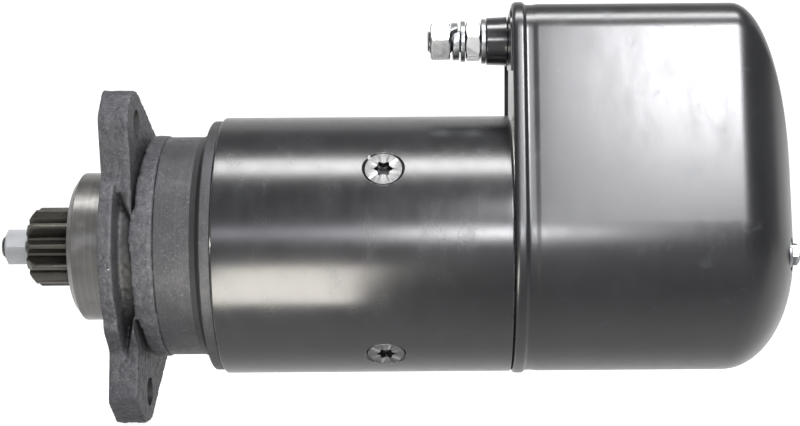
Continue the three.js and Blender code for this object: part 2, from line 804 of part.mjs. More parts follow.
function terminalInsulator() {
  const bore = TERMINAL.radius + 0.1;
  return onTerminal(turned([
    [INSULATOR.front, bore],
    [INSULATOR.front, INSULATOR.small],
    [INSULATING_PLATE.front - GAP, INSULATOR.large],
    [INSULATING_PLATE.front - GAP, INSULATOR.sleeve],
    [210, INSULATOR.sleeve],
    [210, bore],
  ]));
}

function splitWasher(x0, x1, outer) {
  const ring = tube(x0, x1, TERMINAL.radius + 0.4, outer, 20);
  const split = block(x0 - 1, x1 + 1, -0.9, 0.9, 0, outer + 2).rotateX(radians(60));
  return onTerminal(cut(ring, split));
}

function insulatingPlate() {
  const { front, rear, near, far, low, high } = INSULATING_PLATE;
  const corners = [
    [near, low, 2],
    [near, high, 3],
    [far, high, 3],
    [far, low + 12, 2],
    [-4, low + 9.5, 2],
    [-9, low + 4.9, 2],
  ];
  const room = new THREE.Shape(coverOutline(COVER.wall + 0.4).map(([y, z]) => new THREE.Vector2(y, z)));
  const hole = onTerminal(rod(front - 1, rear + 1, INSULATOR.sleeve + GAP, 28));
  return cut(common(slab(roundedShape(corners), front, rear), slab(room, front, rear)), hole);
}

// ---------------------------------------------------------------- the assembly

const starter = new THREE.Group();
starter.name = "starter_motor";
const pieces = new THREE.Group();
pieces.name = "pieces";
starter.add(pieces);

function add(name, geometry, { color, roughness, metalness }) {
  const material = new THREE.MeshStandardMaterial({ color, roughness, metalness, flatShading: true });
  const mesh = new THREE.Mesh(geometry, material);
  mesh.name = name;
  pieces.add(mesh);
}

add("drive_end_housing", driveEndHousing(), CAST_BLACK);
add("shaft_seal", tube(-20.9, -13.2, SPINDLE.radius + 0.4, NOSE_BORE + 4.5), RUBBER);
add("nose_bearing", tube(-12.6, 18, SPINDLE.radius + 0.4, NOSE_BORE - GAP), BRONZE);
add("pinion", pinion(), DARK_STEEL);
add("pinion_lock_nut", pinionLockNut(), ZINC);
add("drive_spindle", driveSpindle(), BRIGHT_STEEL);
add("spindle_return_spring", coilSpring(18.6, SPINDLE.splineFront - GAP, 17.9, 0.8, 3.5), SPRING_STEEL);
add("clutch_hub", clutchHub(), BRIGHT_STEEL);
add("clutch_drum", clutchDrum(), DARK_STEEL);
for (const pair of [0, 1]) {
  add(`clutch_drive_plate_${pair + 1}`, clutchPlate(2 * pair, 30, CLUTCH.drumInner - 0.4), BRIGHT_STEEL);
  add(`clutch_driven_plate_${pair + 1}`, clutchPlate(2 * pair + 1, CLUTCH.hub + 0.4, 38), BRONZE);
}
add("intermediate_plate", intermediatePlate(), GREY_METAL);
add("intermediate_bearing", tube(72.3, 81.7, SHAFT.radius + 0.4, NOSE_BORE - GAP), BRONZE);

add("pole_housing", poleHousing(), BLACK_PAINT);
POLE_ANGLES.forEach((angle, i) => {
  add(`pole_shoe_${i + 1}`, poleShoe(angle), LAMINATION);
  add(`pole_screw_${i + 1}`, poleScrew(angle), DARK_STEEL);
});
add("field_winding", fieldWinding(), COPPER);
add("armature_shaft", tube(SHAFT.front, SHAFT.rear, SHAFT.bore, SHAFT.radius), BRIGHT_STEEL);
add("armature_core", armatureCore(), LAMINATION);
add("armature_winding", armatureWinding(), COPPER);
add("commutator", commutator(), COPPER);

add("commutator_end_shield", commutatorEndShield(), GREY_METAL);
add("rear_bearing", tube(232.5, 243.5, SHAFT.radius + 0.4, SHIELD.bore - GAP), BRONZE);
add("brush_ring", brushRing(), GREY_METAL);
BRUSH_ANGLES.forEach((angle, i) => {
  add(`brush_${i + 1}`, brush(angle), CARBON);
  add(`brush_spring_${i + 1}`, brushSpring(angle), SPRING_STEEL);
});

add("solenoid_yoke", solenoidYoke(), GREY_METAL);
add("solenoid_coil", solenoidCoil(), COPPER);
add("solenoid_core", solenoidCore(), BRIGHT_STEEL);
add("engagement_rod", rod(ROD.front, PLUNGER.front - GAP, ROD.radius), BRIGHT_STEEL);
const corePocket = SOLENOID.front + SOLENOID.pole;
add("core_return_spring", coilSpring(corePocket + 0.4, PLUNGER.front - 0.4, 12, 0.9, 3.5), SPRING_STEEL);
add("control_relay", relayBody(), GREY_METAL);
add("relay_armature", relayArmature(), BRIGHT_STEEL);
add("contact_bridge", contactBridge(), COPPER);
add("trip_lever", tripLever(), BRIGHT_STEEL);

add("terminal_stud", terminalStud(), ZINC);
add("terminal_nut_outer", terminalNut(160.3, 170.4, 18, -3), ZINC);
add("terminal_spring_washer", splitWasher(170.8, 175.4, 9.6), ZINC);
add("terminal_washer_outer", onTerminal(tube(175.8, 178, TERMINAL.radius + 0.3, 10.4, 20)), ZINC);
add("terminal_nut_inner", terminalNut(178.4, 186, 18, 5.5), ZINC);
add("terminal_washer_inner", onTerminal(tube(186.3, 188.6, TERMINAL.radius + 0.3, 11.4, 20)), ZINC);
add("terminal_insulator", terminalInsulator(), BLACK_PLASTIC);
add("insulating_plate", insulatingPlate(), BLACK_PLASTIC);

add("rear_cover", rearCover(), BLACK_PAINT);
add("cover_screw_near", coverScrew(-1), ZINC);
add("cover_screw_far", coverScrew(1), ZINC);

const middle = new THREE.Box3().setFromObject(pieces).getCenter(new THREE.Vector3());
pieces.position.copy(middle).negate();

export default starter;
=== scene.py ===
"""The looks of a heavy-duty coaxial starter motor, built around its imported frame.

Shapes are written in millimetres with the shaft on the X axis and the flange's front face at x = 0; place()
turns them into metres in the row frame. Directions around the shaft are degrees from -Y towards +Z.
"""
import json
import math

import bmesh
import bpy
import numpy as np
from mathutils import Matrix, Vector, noise

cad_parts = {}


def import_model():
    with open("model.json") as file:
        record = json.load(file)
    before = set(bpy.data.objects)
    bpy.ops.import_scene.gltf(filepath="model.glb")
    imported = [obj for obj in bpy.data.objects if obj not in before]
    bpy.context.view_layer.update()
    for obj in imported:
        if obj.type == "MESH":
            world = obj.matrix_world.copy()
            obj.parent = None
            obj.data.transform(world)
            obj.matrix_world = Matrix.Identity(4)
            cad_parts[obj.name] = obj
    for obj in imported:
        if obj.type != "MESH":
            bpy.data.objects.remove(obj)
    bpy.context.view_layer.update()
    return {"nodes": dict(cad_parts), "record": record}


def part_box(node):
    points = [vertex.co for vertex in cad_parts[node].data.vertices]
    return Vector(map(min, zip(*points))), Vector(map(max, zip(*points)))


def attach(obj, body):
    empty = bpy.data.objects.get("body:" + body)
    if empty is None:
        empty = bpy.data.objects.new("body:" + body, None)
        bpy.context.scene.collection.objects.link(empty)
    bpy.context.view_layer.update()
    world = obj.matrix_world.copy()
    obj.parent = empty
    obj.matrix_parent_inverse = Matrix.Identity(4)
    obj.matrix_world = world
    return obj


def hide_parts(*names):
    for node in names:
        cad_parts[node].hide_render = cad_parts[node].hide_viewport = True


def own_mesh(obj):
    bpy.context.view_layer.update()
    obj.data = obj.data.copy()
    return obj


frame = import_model()

# ------------------------------------------------------------------ sizes, mm

MM = 0.001
STEPS = 144  # sides of a large turned piece

FLANGE = {"front": -1, "plate": 6.9, "lug": 14.5, "disc": 59.3, "hub": 47}
LUG_HOLES = [(70, 59.7), (75.2, -85), (73.5, 178)]  # distance from the shaft, angle
LUG_HOLE_RADIUS = 7.25
COLLAR = {"radius": 56.9, "inner": 40, "rear": 26}
NECK = {"front": 25.9, "rear": 43.4, "radius": 56.3}
PINION = {"teeth": 11, "front": -46.4, "rear": -23.7, "travel": 20}
LOCK_NUT = {"front": -59.7, "rear": -46.7}
HOUSING = {"radius": 66, "inner": 60, "front": 54.8, "rear": 200.2}
POLE_SCREWS = {"x": 137.5, "angles": [34, -56, 124, -146], "head": 65.4}
COVER = {"radius": 65.9, "top": 118.8, "corner": 17, "lean": 9.5, "wall": 1.8}
COVER_ENDS = {"straight": 309, "dome": 35.7, "middle": -9}
COVER_SCREW = {"side": 34, "height": -6.4, "seat": 336.6, "end": 342.4}
SHIELD = {"front": 202.6, "rear": 206.4, "cup": 60, "gap": 0.5}
TERMINAL = {"y": -6, "z": 104.2, "across": 18, "thread": 6.0, "hole": 9.5}
BRUSHES = 4
CAMERA = {"place": (166.3, -763, 0), "lens": 66.06, "shift": (-0.0545, 0.0386), "roll": -0.0072}
FLOOR_HEIGHT = -91.5


def shaft_origin():
    """The point where the shaft's axis meets the flange's front face, in the row frame."""
    mounts = {mount["name"]: mount["pos_m"] for mount in frame["record"]["mounts"]}
    low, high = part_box("pole_housing")
    middle = (low + high) / 2
    return Vector((mounts["flange_face"][0], middle.y, middle.z))


ORIGIN = shaft_origin()
SLOT_OF = {part["node"]: part["material_slot"] for part in frame["record"]["subparts"]}


def place(point):
    return ORIGIN + Vector(point) * MM


# ------------------------------------------------------------------ meshes


def mesh_object(name, points, faces):
    mesh = bpy.data.meshes.new(name)
    mesh.from_pydata([tuple(map(float, point)) for point in points], [], faces)
    mesh.validate()
    obj = bpy.data.objects.new(name, mesh)
    bpy.context.scene.collection.objects.link(obj)
    outward(obj)
    return obj


def outward(obj):
    work = bmesh.new()
    work.from_mesh(obj.data)
    bmesh.ops.recalc_face_normals(work, faces=work.faces)
    if work.calc_volume(signed=True) < 0:
        bmesh.ops.reverse_faces(work, faces=work.faces)
    work.to_mesh(obj.data)
    work.free()


def rounded(corners, arc=5):
    """A closed outline from (a, b, radius) corners, each corner turned with its own radius."""
    outline = []
    count = len(corners)
    for i, (a, b, radius) in enumerate(corners):
        here = Vector((a, b))
        if radius <= 0:
            outline.append((a, b))
            continue
        before = Vector(corners[i - 1][:2]) - here
        after = Vector(corners[(i + 1) % count][:2]) - here
        opening = before.angle(after)
        setback = radius / math.tan(opening / 2)
        inward = (before.normalized() + after.normalized()).normalized()
        centre = here + inward * (radius / math.sin(opening / 2))
        start = here + before.normalized() * setback - centre
        end = here + after.normalized() * setback - centre
        sweep = start.angle_signed(end)
        for step in range(arc + 1):
            turn = start.copy()
            turn.rotate(Matrix.Rotation(-sweep * step / arc, 2))
            outline.append(tuple(centre + turn))
    return outline


def lathe(name, outline, steps=STEPS):
    """A piece turned about X from a closed outline of (x, radius) points."""
    turns = [2 * math.pi * step / steps for step in range(steps)]
    points, rings = [], []
    for x, radius in outline:
        if radius < 1e-6:
            rings.append([len(points)])
            points.append((x, 0, 0))
        else:
            rings.append([len(points) + step for step in range(steps)])
            points += [(x, -radius * math.cos(turn), radius * math.sin(turn)) for turn in turns]
    faces = []
    for ring, following in zip(rings, rings[1:] + rings[:1]):
        for step in range(steps):
            near = [ring[step % len(ring)], ring[(step + 1) % len(ring)]]
            far = [following[(step + 1) % len(following)], following[step % len(following)]]
            face = list(dict.fromkeys(near + far))
            if len(face) > 2:
                faces.append(face)
    return mesh_object(name, points, faces)


def loft(name, rings):
    """A skin through rings of equally many points, closed at both ends."""
    count = len(rings[0])
    points = [point for ring in rings for point in ring]
    faces = []
    for ring in range(len(rings) - 1):
        for i in range(count):
            near, following = ring * count + i, ring * count + (i + 1) % count
            faces.append((near, following, following + count, near + count))
    faces.append(tuple(range(count)))
    faces.append(tuple(range(len(points) - count, len(points))))
    return mesh_object(name, points, faces)


def prism(name, outline, x0, x1):
    """A flat (y, z) outline as a slab from x0 to x1."""
    return loft(name, [[(x, y, z) for y, z in outline] for x in (x0, x1)])


def box(name, low, high):
    (x0, y0, z0), (x1, y1, z1) = low, high
    return prism(name, [(y0, z0), (y1, z0), (y1, z1), (y0, z1)], x0, x1)


def polar(radius, turn):
    return (radius * math.cos(turn), radius * math.sin(turn))


def hexagon(across, twist):
    """The outline of a hexagon that is this wide across its flats."""
    return [polar(across / math.sqrt(3), math.radians(60 * i + twist)) for i in range(6)]


def around(radius, angle, x=0):
    """The point at a radius and an angle around the shaft."""
    turn = math.radians(angle)
    return (x, -radius * math.cos(turn), radius * math.sin(turn))


def transform(obj, matrix):
    obj.data.transform(matrix)
    return obj


def to_angle(obj, angle):
    """Turns a piece made at the near side, -Y, to an angle around the shaft."""
    return transform(obj, Matrix.Rotation(math.radians(-angle), 4, "X"))


def radial(obj, x):
    """Stands a piece made along X on the shaft at the near side: its x becomes its radius."""
    return transform(obj, Matrix.Translation((x, 0, 0)) @ Matrix.Rotation(math.radians(-90), 4, "Z"))


def settle(obj):
    """Puts the result of the modifiers into the mesh."""
    graph = bpy.context.evaluated_depsgraph_get()
    mesh = bpy.data.meshes.new_from_object(obj.evaluated_get(graph))
    obj.modifiers.clear()
    obj.data = mesh
    return obj


def combine(body, operation, *tools):
    for tool in tools:
        modifier = body.modifiers.new("combine", "BOOLEAN")
        modifier.operation = operation
        modifier.solver = "MANIFOLD"
        modifier.object = tool
        settle(body)
        bpy.data.objects.remove(tool)
    return body


def cut(body, *tools):
    return combine(body, "DIFFERENCE", *tools)


def join(body, *tools):
    return combine(body, "UNION", *tools)


def common(body, tool):
    return combine(body, "INTERSECT", tool)


def bevelled(obj, width, segments, angle):
    modifier = obj.modifiers.new("edge", "BEVEL")
    modifier.width = width
    modifier.segments = segments
    modifier.limit_method = "ANGLE"
    modifier.angle_limit = math.radians(angle)
    modifier.harden_normals = False
    return settle(obj)


def roughened(obj, amount, size, seed):
    """Moves each point of a casting along its normal by smooth noise."""
    offset = Vector((seed * 17.3, seed * 5.1, seed * 9.7))
    places = [vertex.co.copy() for vertex in obj.data.vertices]
    normals = [normal.vector.copy() for normal in obj.data.vertex_normals]
    for i, (point, normal) in enumerate(zip(places, normals)):
        coarse = noise.noise((point + offset) / size)
        fine = noise.noise((point + offset) / (size * 0.35))
        places[i] = point + normal * amount * (coarse + 0.6 * fine)
    obj.data.vertices.foreach_set("co", [value for point in places for value in point])
    obj.data.update()
    return obj


# ------------------------------------------------------------------ pieces


def finish(obj, node, body, materials, pick=None, smooth=35):
    """Puts a finished mesh in the row frame, gives it its materials and lets it stand for a CAD node.

    With several materials, pick gives the number of the one for a face from its centre and normal.
    """
    mesh = obj.data
    obj.name = node + ".look"
    mesh.name = obj.name
    mesh.materials.clear()
    for material in materials:
        mesh.materials.append(material)
    if pick:
        for polygon in mesh.polygons:
            polygon.material_index = pick(polygon.center, polygon.normal)
    mesh.transform(Matrix.Translation(ORIGIN) @ Matrix.Scale(MM, 4))
    mesh.shade_smooth()
    mesh.set_sharp_from_angle(angle=math.radians(smooth))
    weighted = obj.modifiers.new("normals", "WEIGHTED_NORMAL")
    weighted.keep_sharp = True
    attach(obj, body)
    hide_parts(node)
    return obj


# ------------------------------------------------------------------ materials


class Look:
    """A node material around one Principled shader. Texture places are in mm, in the row frame."""

    def __init__(self, name, color, roughness, metallic=0.0):
        self.material = bpy.data.materials.new(name)
        self.material.use_nodes = True
        self.tree = self.material.node_tree
        self.shader = self.tree.nodes["Principled BSDF"]
        self.shader.inputs["Metallic"].default_value = metallic
        self.color = self.rgb(color)
        self.roughness = self.value(roughness)
        self.height = None
        place_node = self.node("ShaderNodeTexCoord")
        self.place = self.node("ShaderNodeMapping", Vector=place_node.outputs["Object"])
        self.place.inputs["Scale"].default_value = (1 / MM, 1 / MM, 1 / MM)
        self.place = self.place.outputs[0]

    def node(self, kind, **inputs):
        made = self.tree.nodes.new(kind)
        for key, value in inputs.items():
            self.link(made.inputs[key.replace("_", " ")], value)
        return made

    def link(self, socket, value):
        if isinstance(value, bpy.types.NodeSocket):
            self.tree.links.new(value, socket)
        else:
            socket.default_value = value

    def rgb(self, color):
        made = self.node("ShaderNodeRGB")
        made.outputs[0].default_value = (*color, 1)
        return made.outputs[0]

    def value(self, number):
        made = self.node("ShaderNodeValue")
        made.outputs[0].default_value = number
        return made.outputs[0]

    def math(self, operation, a, b=0.0, clamp=False):
        made = self.node("ShaderNodeMath")
        made.operation = operation
        made.use_clamp = clamp
        self.link(made.inputs[0], a)
        self.link(made.inputs[1], b)
        return made.outputs[0]

    def stretched(self, scale):
        made = self.node("ShaderNodeMapping", Vector=self.place)
        made.inputs["Scale"].default_value = scale
        return made.outputs[0]

    def noise(self, size, detail=3.0, rough=0.5, place=None, distortion=0.0):
        made = self.node("ShaderNodeTexNoise", Vector=place or self.place, Scale=1 / size, Detail=detail)
        made.inputs["Roughness"].default_value = rough
        made.inputs["Distortion"].default_value = distortion
        return made.outputs["Fac"]

    def spots(self, size):
        return self.node("ShaderNodeTexVoronoi", Vector=self.place, Scale=1 / size)

    def ramp(self, fac, low, high, invert=False):
        made = self.node("ShaderNodeMapRange", Value=fac)
        made.inputs["From Min"].default_value = low
        made.inputs["From Max"].default_value = high
        made.inputs["To Min"].default_value = 1.0 if invert else 0.0
        made.inputs["To Max"].default_value = 0.0 if invert else 1.0
        made.clamp = True
        return made.outputs[0]

    def attribute(self, name):
        made = self.node("ShaderNodeAttribute")
        made.attribute_name = name
        return made.outputs["Fac"]

    def axis(self, which):
        made = self.node("ShaderNodeSeparateXYZ", Vector=self.place)
        return made.outputs[which]

    def edges(self, low=0.505, high=0.56):
        """High where the surface is convex, along its outer edges."""
        made = self.node("ShaderNodeNewGeometry")
        return self.ramp(made.outputs["Pointiness"], low, high)

    def tint(self, fac, color):
        """Mixes another colour into the piece's colour where fac is high."""
        made = self.node("ShaderNodeMix")
        made.data_type = "RGBA"
        self.link(made.inputs["Factor"], fac)
        self.link(made.inputs[6], self.color)
        self.link(made.inputs[7], color if isinstance(color, bpy.types.NodeSocket) else (*color, 1))
        self.color = made.outputs[2]

    def rougher(self, fac, amount):
        change = self.math("MULTIPLY", fac, amount)
        self.roughness = self.math("ADD", self.roughness, change, clamp=True)

    def raise_by(self, fac, height):
        """Adds relief: height in mm where fac is 1."""
        change = self.math("MULTIPLY", fac, height)
        self.height = change if self.height is None else self.math("ADD", self.height, change)

    def done(self):
        self.link(self.shader.inputs["Base Color"], self.color)
        self.link(self.shader.inputs["Roughness"], self.roughness)
        if self.height is not None:
            bump = self.node("ShaderNodeBump", Height=self.height)
            bump.inputs["Strength"].default_value = 1.0
            bump.inputs["Distance"].default_value = MM
            self.tree.links.new(bump.outputs[0], self.shader.inputs["Normal"])
        return self.material


def turned_rings(look, height, size):
    """Fine rings around the shaft, as a lathe leaves them."""
    rings = look.noise(1.0, 2, 0.6, place=look.stretched((1 / size, 0.01, 0.01)))
    look.raise_by(rings, height)
    return rings


def specks(look, size, share, color):
    """Small bright chips, far apart."""
    cells = look.spots(size)
    dot = look.ramp(cells.outputs["Distance"], 0.03, 0.07, invert=True)
    chosen = look.node("ShaderNodeSeparateColor", Color=cells.outputs["Color"])
    keep = look.ramp(chosen.outputs[0], 1 - share, 1 - share + 0.01)
    look.tint(look.math("MULTIPLY", dot, keep), color)


def black_paint(name, roughness):
    """Gloss paint with a faint orange peel, smears and a few chips."""
    look = Look(name, (0.0038, 0.004, 0.0046), roughness)
    look.shader.inputs["IOR"].default_value = 1.52
    cloud = look.noise(28, 4, 0.6, distortion=0.6)
    look.tint(look.ramp(cloud, 0.45, 0.8), (0.007, 0.0073, 0.0085))
    smears = look.noise(9, 5, 0.65, place=look.stretched((1, 1, 0.35)))
    look.rougher(look.ramp(smears, 0.42, 0.72), 0.05)
    peel = look.noise(1.6, 2, 0.5)
    look.raise_by(peel, 0.010)
    specks(look, 9, 0.012, (0.12, 0.12, 0.125))
    return look


def pole_housing_paint():
    look = black_paint("housing_paint", 0.24)
    turned_rings(look, 0.003, 0.6)
    wear = look.math("MULTIPLY", look.edges(0.52, 0.6), look.ramp(look.noise(3.0), 0.35, 0.6))
    look.tint(wear, (0.3, 0.3, 0.3))
    return look.done()


def cover_paint():
    look = black_paint("cover_paint", 0.28)
    brushed = look.noise(1.0, 2, 0.6, place=look.stretched((0.02, 0.3, 1.6)))
    look.raise_by(brushed, 0.004)
    prints = look.noise(14, 3, 0.5, distortion=1.2)
    look.tint(look.ramp(prints, 0.62, 0.75), (0.01, 0.0105, 0.013))
    look.rougher(look.ramp(prints, 0.6, 0.78), 0.06)
    return look.done()


def cast_iron():
    look = Look("cast_black", (0.034, 0.034, 0.039), 0.5, 0.5)
    look.shader.inputs["IOR"].default_value = 1.38
    cloud = look.noise(8, 5, 0.65)
    look.tint(look.ramp(cloud, 0.4, 0.8), (0.06, 0.06, 0.063))
    grain = look.noise(1.3, 4, 0.75)
    look.raise_by(grain, 0.34)
    look.tint(look.ramp(grain, 0.56, 0.75), (0.11, 0.11, 0.112))
    look.tint(look.ramp(grain, 0.3, 0.42, invert=True), (0.012, 0.012, 0.014))
    pits = look.spots(2.6)
    look.raise_by(look.ramp(pits.outputs["Distance"], 0.1, 0.35), 0.06)
    look.rougher(look.ramp(look.noise(2.2), 0.4, 0.7), 0.15)
    specks(look, 4.0, 0.1, (0.75, 0.75, 0.74))
    look.tint(look.edges(0.54, 0.66), (0.14, 0.14, 0.145))
    return look.done()


def machined_black():
    """The neck: turned after casting, then thinly painted."""
    look = Look("turned_black", (0.022, 0.0225, 0.025), 0.45, 0.3)
    look.shader.inputs["IOR"].default_value = 1.38
    rings = turned_rings(look, 0.012, 0.45)
    look.tint(look.ramp(rings, 0.45, 0.75), (0.03, 0.03, 0.033))
    grain = look.noise(1.3, 4, 0.75)
    look.raise_by(grain, 0.2)
    look.tint(look.ramp(grain, 0.56, 0.75), (0.075, 0.075, 0.077))
    cloud = look.noise(10, 4, 0.6)
    look.tint(look.ramp(cloud, 0.5, 0.8), (0.04, 0.04, 0.042))
    look.rougher(look.ramp(look.noise(4.0, 4), 0.4, 0.7), 0.12)
    specks(look, 4.0, 0.08, (0.02, 0.02, 0.02))
    look.tint(look.edges(0.54, 0.66), (0.16, 0.16, 0.16))
    return look.done()


# Near-black with a faint mottle and bump: painted shade for the pockets behind the flange and for the lug
# holes, also laid on the slope behind the neck.
def groove_paint():
    look = Look("groove_black", (0.006, 0.0062, 0.007), 0.55)
    look.raise_by(look.noise(0.8, 3, 0.6), 0.1)
    look.tint(look.ramp(look.noise(5.0, 4), 0.5, 0.8), (0.013, 0.013, 0.014))
    return look.done()


def bright_turned():
    look = Look("bright_turned", (0.13, 0.127, 0.122), 0.3, 1.0)
    rings = turned_rings(look, 0.012, 0.3)
    look.tint(look.ramp(rings, 0.3, 0.8), (0.18, 0.176, 0.168))
    look.rougher(look.ramp(look.noise(6, 4), 0.4, 0.7), 0.12)
    look.tint(look.ramp(look.noise(3, 4, 0.6), 0.62, 0.8), (0.1, 0.094, 0.084))
    return look.done()


def zinc():
    look = Look("zinc_plate", (0.11, 0.114, 0.121), 0.3, 0.95)
    look.tint(look.ramp(look.noise(2.5, 4, 0.6), 0.45, 0.75), (0.085, 0.089, 0.096))
    look.rougher(look.ramp(look.noise(1.6, 3), 0.4, 0.7), 0.15)
    look.raise_by(look.noise(0.5, 3, 0.6), 0.02)
    look.tint(look.edges(), (0.4, 0.41, 0.42))
    return look.done()


def dark_steel():
    look = Look("oiled_steel", (0.016, 0.0145, 0.0125), 0.3, 0.9)
    look.tint(look.ramp(look.noise(3.0, 4, 0.6), 0.4, 0.75), (0.03, 0.027, 0.023))
    drawn = look.noise(1.0, 2, 0.6, place=look.stretched((0.1, 2.0, 2.0)))
    look.raise_by(drawn, 0.02)
    look.rougher(look.ramp(look.noise(1.5, 3), 0.4, 0.7), 0.14)
    look.tint(look.edges(), (0.09, 0.084, 0.074))
    return look.done()


def screw_steel():
    """A flat screw head with the rings its turning left, 0.55 mm apart."""
    look = Look("screw_steel", (0.021, 0.021, 0.022), 0.46, 0.95)
    wave = look.math("SINE", look.math("MULTIPLY", look.attribute("turn"), 2 * math.pi / 0.55))
    look.raise_by(wave, 0.012)
    look.tint(look.ramp(wave, -0.4, 1.0), (0.028, 0.028, 0.029))
    look.rougher(look.ramp(look.noise(1.8, 4), 0.4, 0.7), 0.16)
    look.tint(look.ramp(look.noise(2.2, 4), 0.6, 0.75), (0.03, 0.03, 0.03))
    look.tint(look.edges(), (0.25, 0.25, 0.25))
    return look.done()


def satin_metal(name, color, roughness=0.45):
    look = Look(name, color, roughness, 0.85)
    look.tint(look.ramp(look.noise(5, 4, 0.6), 0.4, 0.75), tuple(channel * 0.75 for channel in color))
    look.raise_by(look.noise(0.7, 3, 0.6), 0.05)
    look.rougher(look.ramp(look.noise(2.0, 3), 0.4, 0.7), 0.12)
    look.tint(look.edges(), tuple(min(1, channel * 1.35) for channel in color))
    return look.done()


def plastic():
    look = Look("black_plastic", (0.008, 0.0082, 0.0095), 0.2)
    look.raise_by(look.noise(4.0, 2, 0.5), 0.003)
    look.tint(look.ramp(look.noise(6, 4), 0.5, 0.8), (0.014, 0.0145, 0.016))
    look.rougher(look.ramp(look.noise(5, 3), 0.45, 0.75), 0.05)
    return look.done()


def copper():
    look = Look("copper", (0.42, 0.17, 0.075), 0.38, 0.85)
    strands = look.noise(1.0, 2, 0.6, place=look.stretched((0.1, 1.2, 1.2)))
    look.raise_by(strands, 0.1)
    look.tint(look.ramp(strands, 0.5, 0.8), (0.2, 0.07, 0.03))
    look.rougher(look.ramp(look.noise(3, 3), 0.4, 0.7), 0.15)
    look.tint(look.edges(), (0.6, 0.3, 0.16))
    return look.done()


def laminations():
    """Stacked sheets, 0.9 mm each."""
    look = Look("laminations", (0.17, 0.17, 0.18), 0.5, 0.7)
    sheets = look.math("SINE", look.math("MULTIPLY", look.axis("X"), 2 * math.pi / 0.9))
    look.raise_by(sheets, 0.05)
    look.tint(look.ramp(sheets, 0.2, 1.0), (0.09, 0.09, 0.1))
    look.rougher(look.ramp(look.noise(3, 3), 0.4, 0.7), 0.15)
    look.tint(look.edges(), (0.3, 0.3, 0.3))
    return look.done()


def carbon():
    look = Look("brush_carbon", (0.035, 0.03, 0.027), 0.75, 0.2)
    grain = look.noise(0.4, 3, 0.7)
    look.raise_by(grain, 0.05)
    look.tint(look.ramp(grain, 0.6, 0.75), (0.2, 0.1, 0.06))
    look.rougher(look.ramp(look.noise(2, 3), 0.4, 0.7), 0.15)
    return look.done()


def rubber():
    look = Look("seal_rubber", (0.012, 0.012, 0.012), 0.62)
    look.raise_by(look.noise(0.6, 3, 0.6), 0.04)
    look.tint(look.ramp(look.noise(3, 4), 0.5, 0.8), (0.03, 0.03, 0.03))
    look.rougher(look.ramp(look.noise(2, 3), 0.4, 0.7), 0.15)
    return look.done()


LOOKS = {
    "housing": pole_housing_paint(),
    "cover": cover_paint(),
    "cast": cast_iron(),
    "neck": machined_black(),
    # painted shade for the drive end's pockets and lug holes
    "groove": groove_paint(),
    "bright": bright_turned(),
    "zinc": zinc(),
    "oiled": dark_steel(),
    "screw": screw_steel(),
    "shield": satin_metal("shield_alloy", (0.5, 0.5, 0.49)),
    "plastic": plastic(),
    "copper": copper(),
    "laminations": laminations(),
    "bronze": satin_metal("bronze", (0.5, 0.33, 0.12), 0.4),
    "carbon": carbon(),
    "rubber": rubber(),
    "spring": satin_metal("spring_wire", (0.42, 0.43, 0.45), 0.3),
}
LOOK_OF_SLOT = {
    "cast_black": "cast",
    "black_paint": "housing",
    "zinc_plate": "zinc",
    "dark_steel": "oiled",
    "bright_steel": "bright",
    "screw_steel": "screw",
    "end_shield_metal": "shield",
    "black_plastic": "plastic",
    "copper": "copper",
    "laminated_iron": "laminations",
    "bronze": "bronze",
    "carbon": "carbon",
    "seal_rubber": "rubber",
    "spring_steel": "spring",
}


# ------------------------------------------------------------------ drive end


def sector_band(name, stations, inner, outer):
    """A solid between two radii whose front and rear edges run through (angle, front x, rear x) stations."""
    angles, fronts, rears = (np.array(column, float) for column in zip(*stations))
    step = 2  # degrees from ring to ring
    rings = []
    for angle in np.arange(angles[0], angles[-1] + step / 2, step):
        x0, x1 = np.interp(angle, angles, fronts), np.interp(angle, angles, rears)
        rings.append([around(r, angle, x) for r, x in ((inner, x0), (outer, x0), (outer, x1), (inner, x1))])
    return loft(name, rings)


FLANGE_OUTLINE = [  # (y, z, corner radius)
    (-49.5, 34, 12), (-56.5, 62, 8), (-45, 76.5, 9), (-31, 76.5, 8), (89, 30, 18), (89, -30, 18),
    (-1, -90, 8), (-17, -90, 8), (-36.8, -77.5, 4), (-34, -52, 7), (-47, -41, 10),
]
POCKETS = [  # the hollows between flange and collar, as (angle, front x, rear x) stations
    [(-60, 7.4, 8.0), (-57, 7.0, 9.0), (-52, 6.9, 10.6), (-46, 6.9, 12.4), (-36, 6.9, 14.9), (-28, 6.9, 15.3),
     (-10, 6.9, 15.2), (2, 6.9, 14.3), (11, 6.9, 14.3), (17, 6.9, 13.2), (24.4, 6.9, 9.8), (32.6, 6.9, 7.3)],
    [(110, 7.0, 7.8), (116, 6.9, 12), (124, 6.9, 15.2), (138, 6.9, 15.2), (146, 6.9, 12), (150, 7.0, 7.8)],
    [(204, 7.0, 7.8), (209, 6.9, 12), (214, 6.9, 15.2), (226, 6.9, 15.2), (231, 6.9, 12), (236, 7.0, 7.8)],
]
COLLAR_FRONT = [  # (angle, x): the collar's front edge reaches forward behind each hollow
    (-90, 17.2), (-60, 17.3), (-46.7, 17.2), (-40, 16), (-36, 14.9), (-28, 15.3), (-10, 15.2), (2, 14.3),
    (11, 14.4), (16, 15), (20, 17), (30, 16.6), (51, 17.9), (80, 17), (110, 17.2), (118, 15.2), (142, 15.2),
    (150, 17.2), (205, 17.2), (212, 15.2), (228, 15.2), (236, 17.2), (270, 17.2),
]


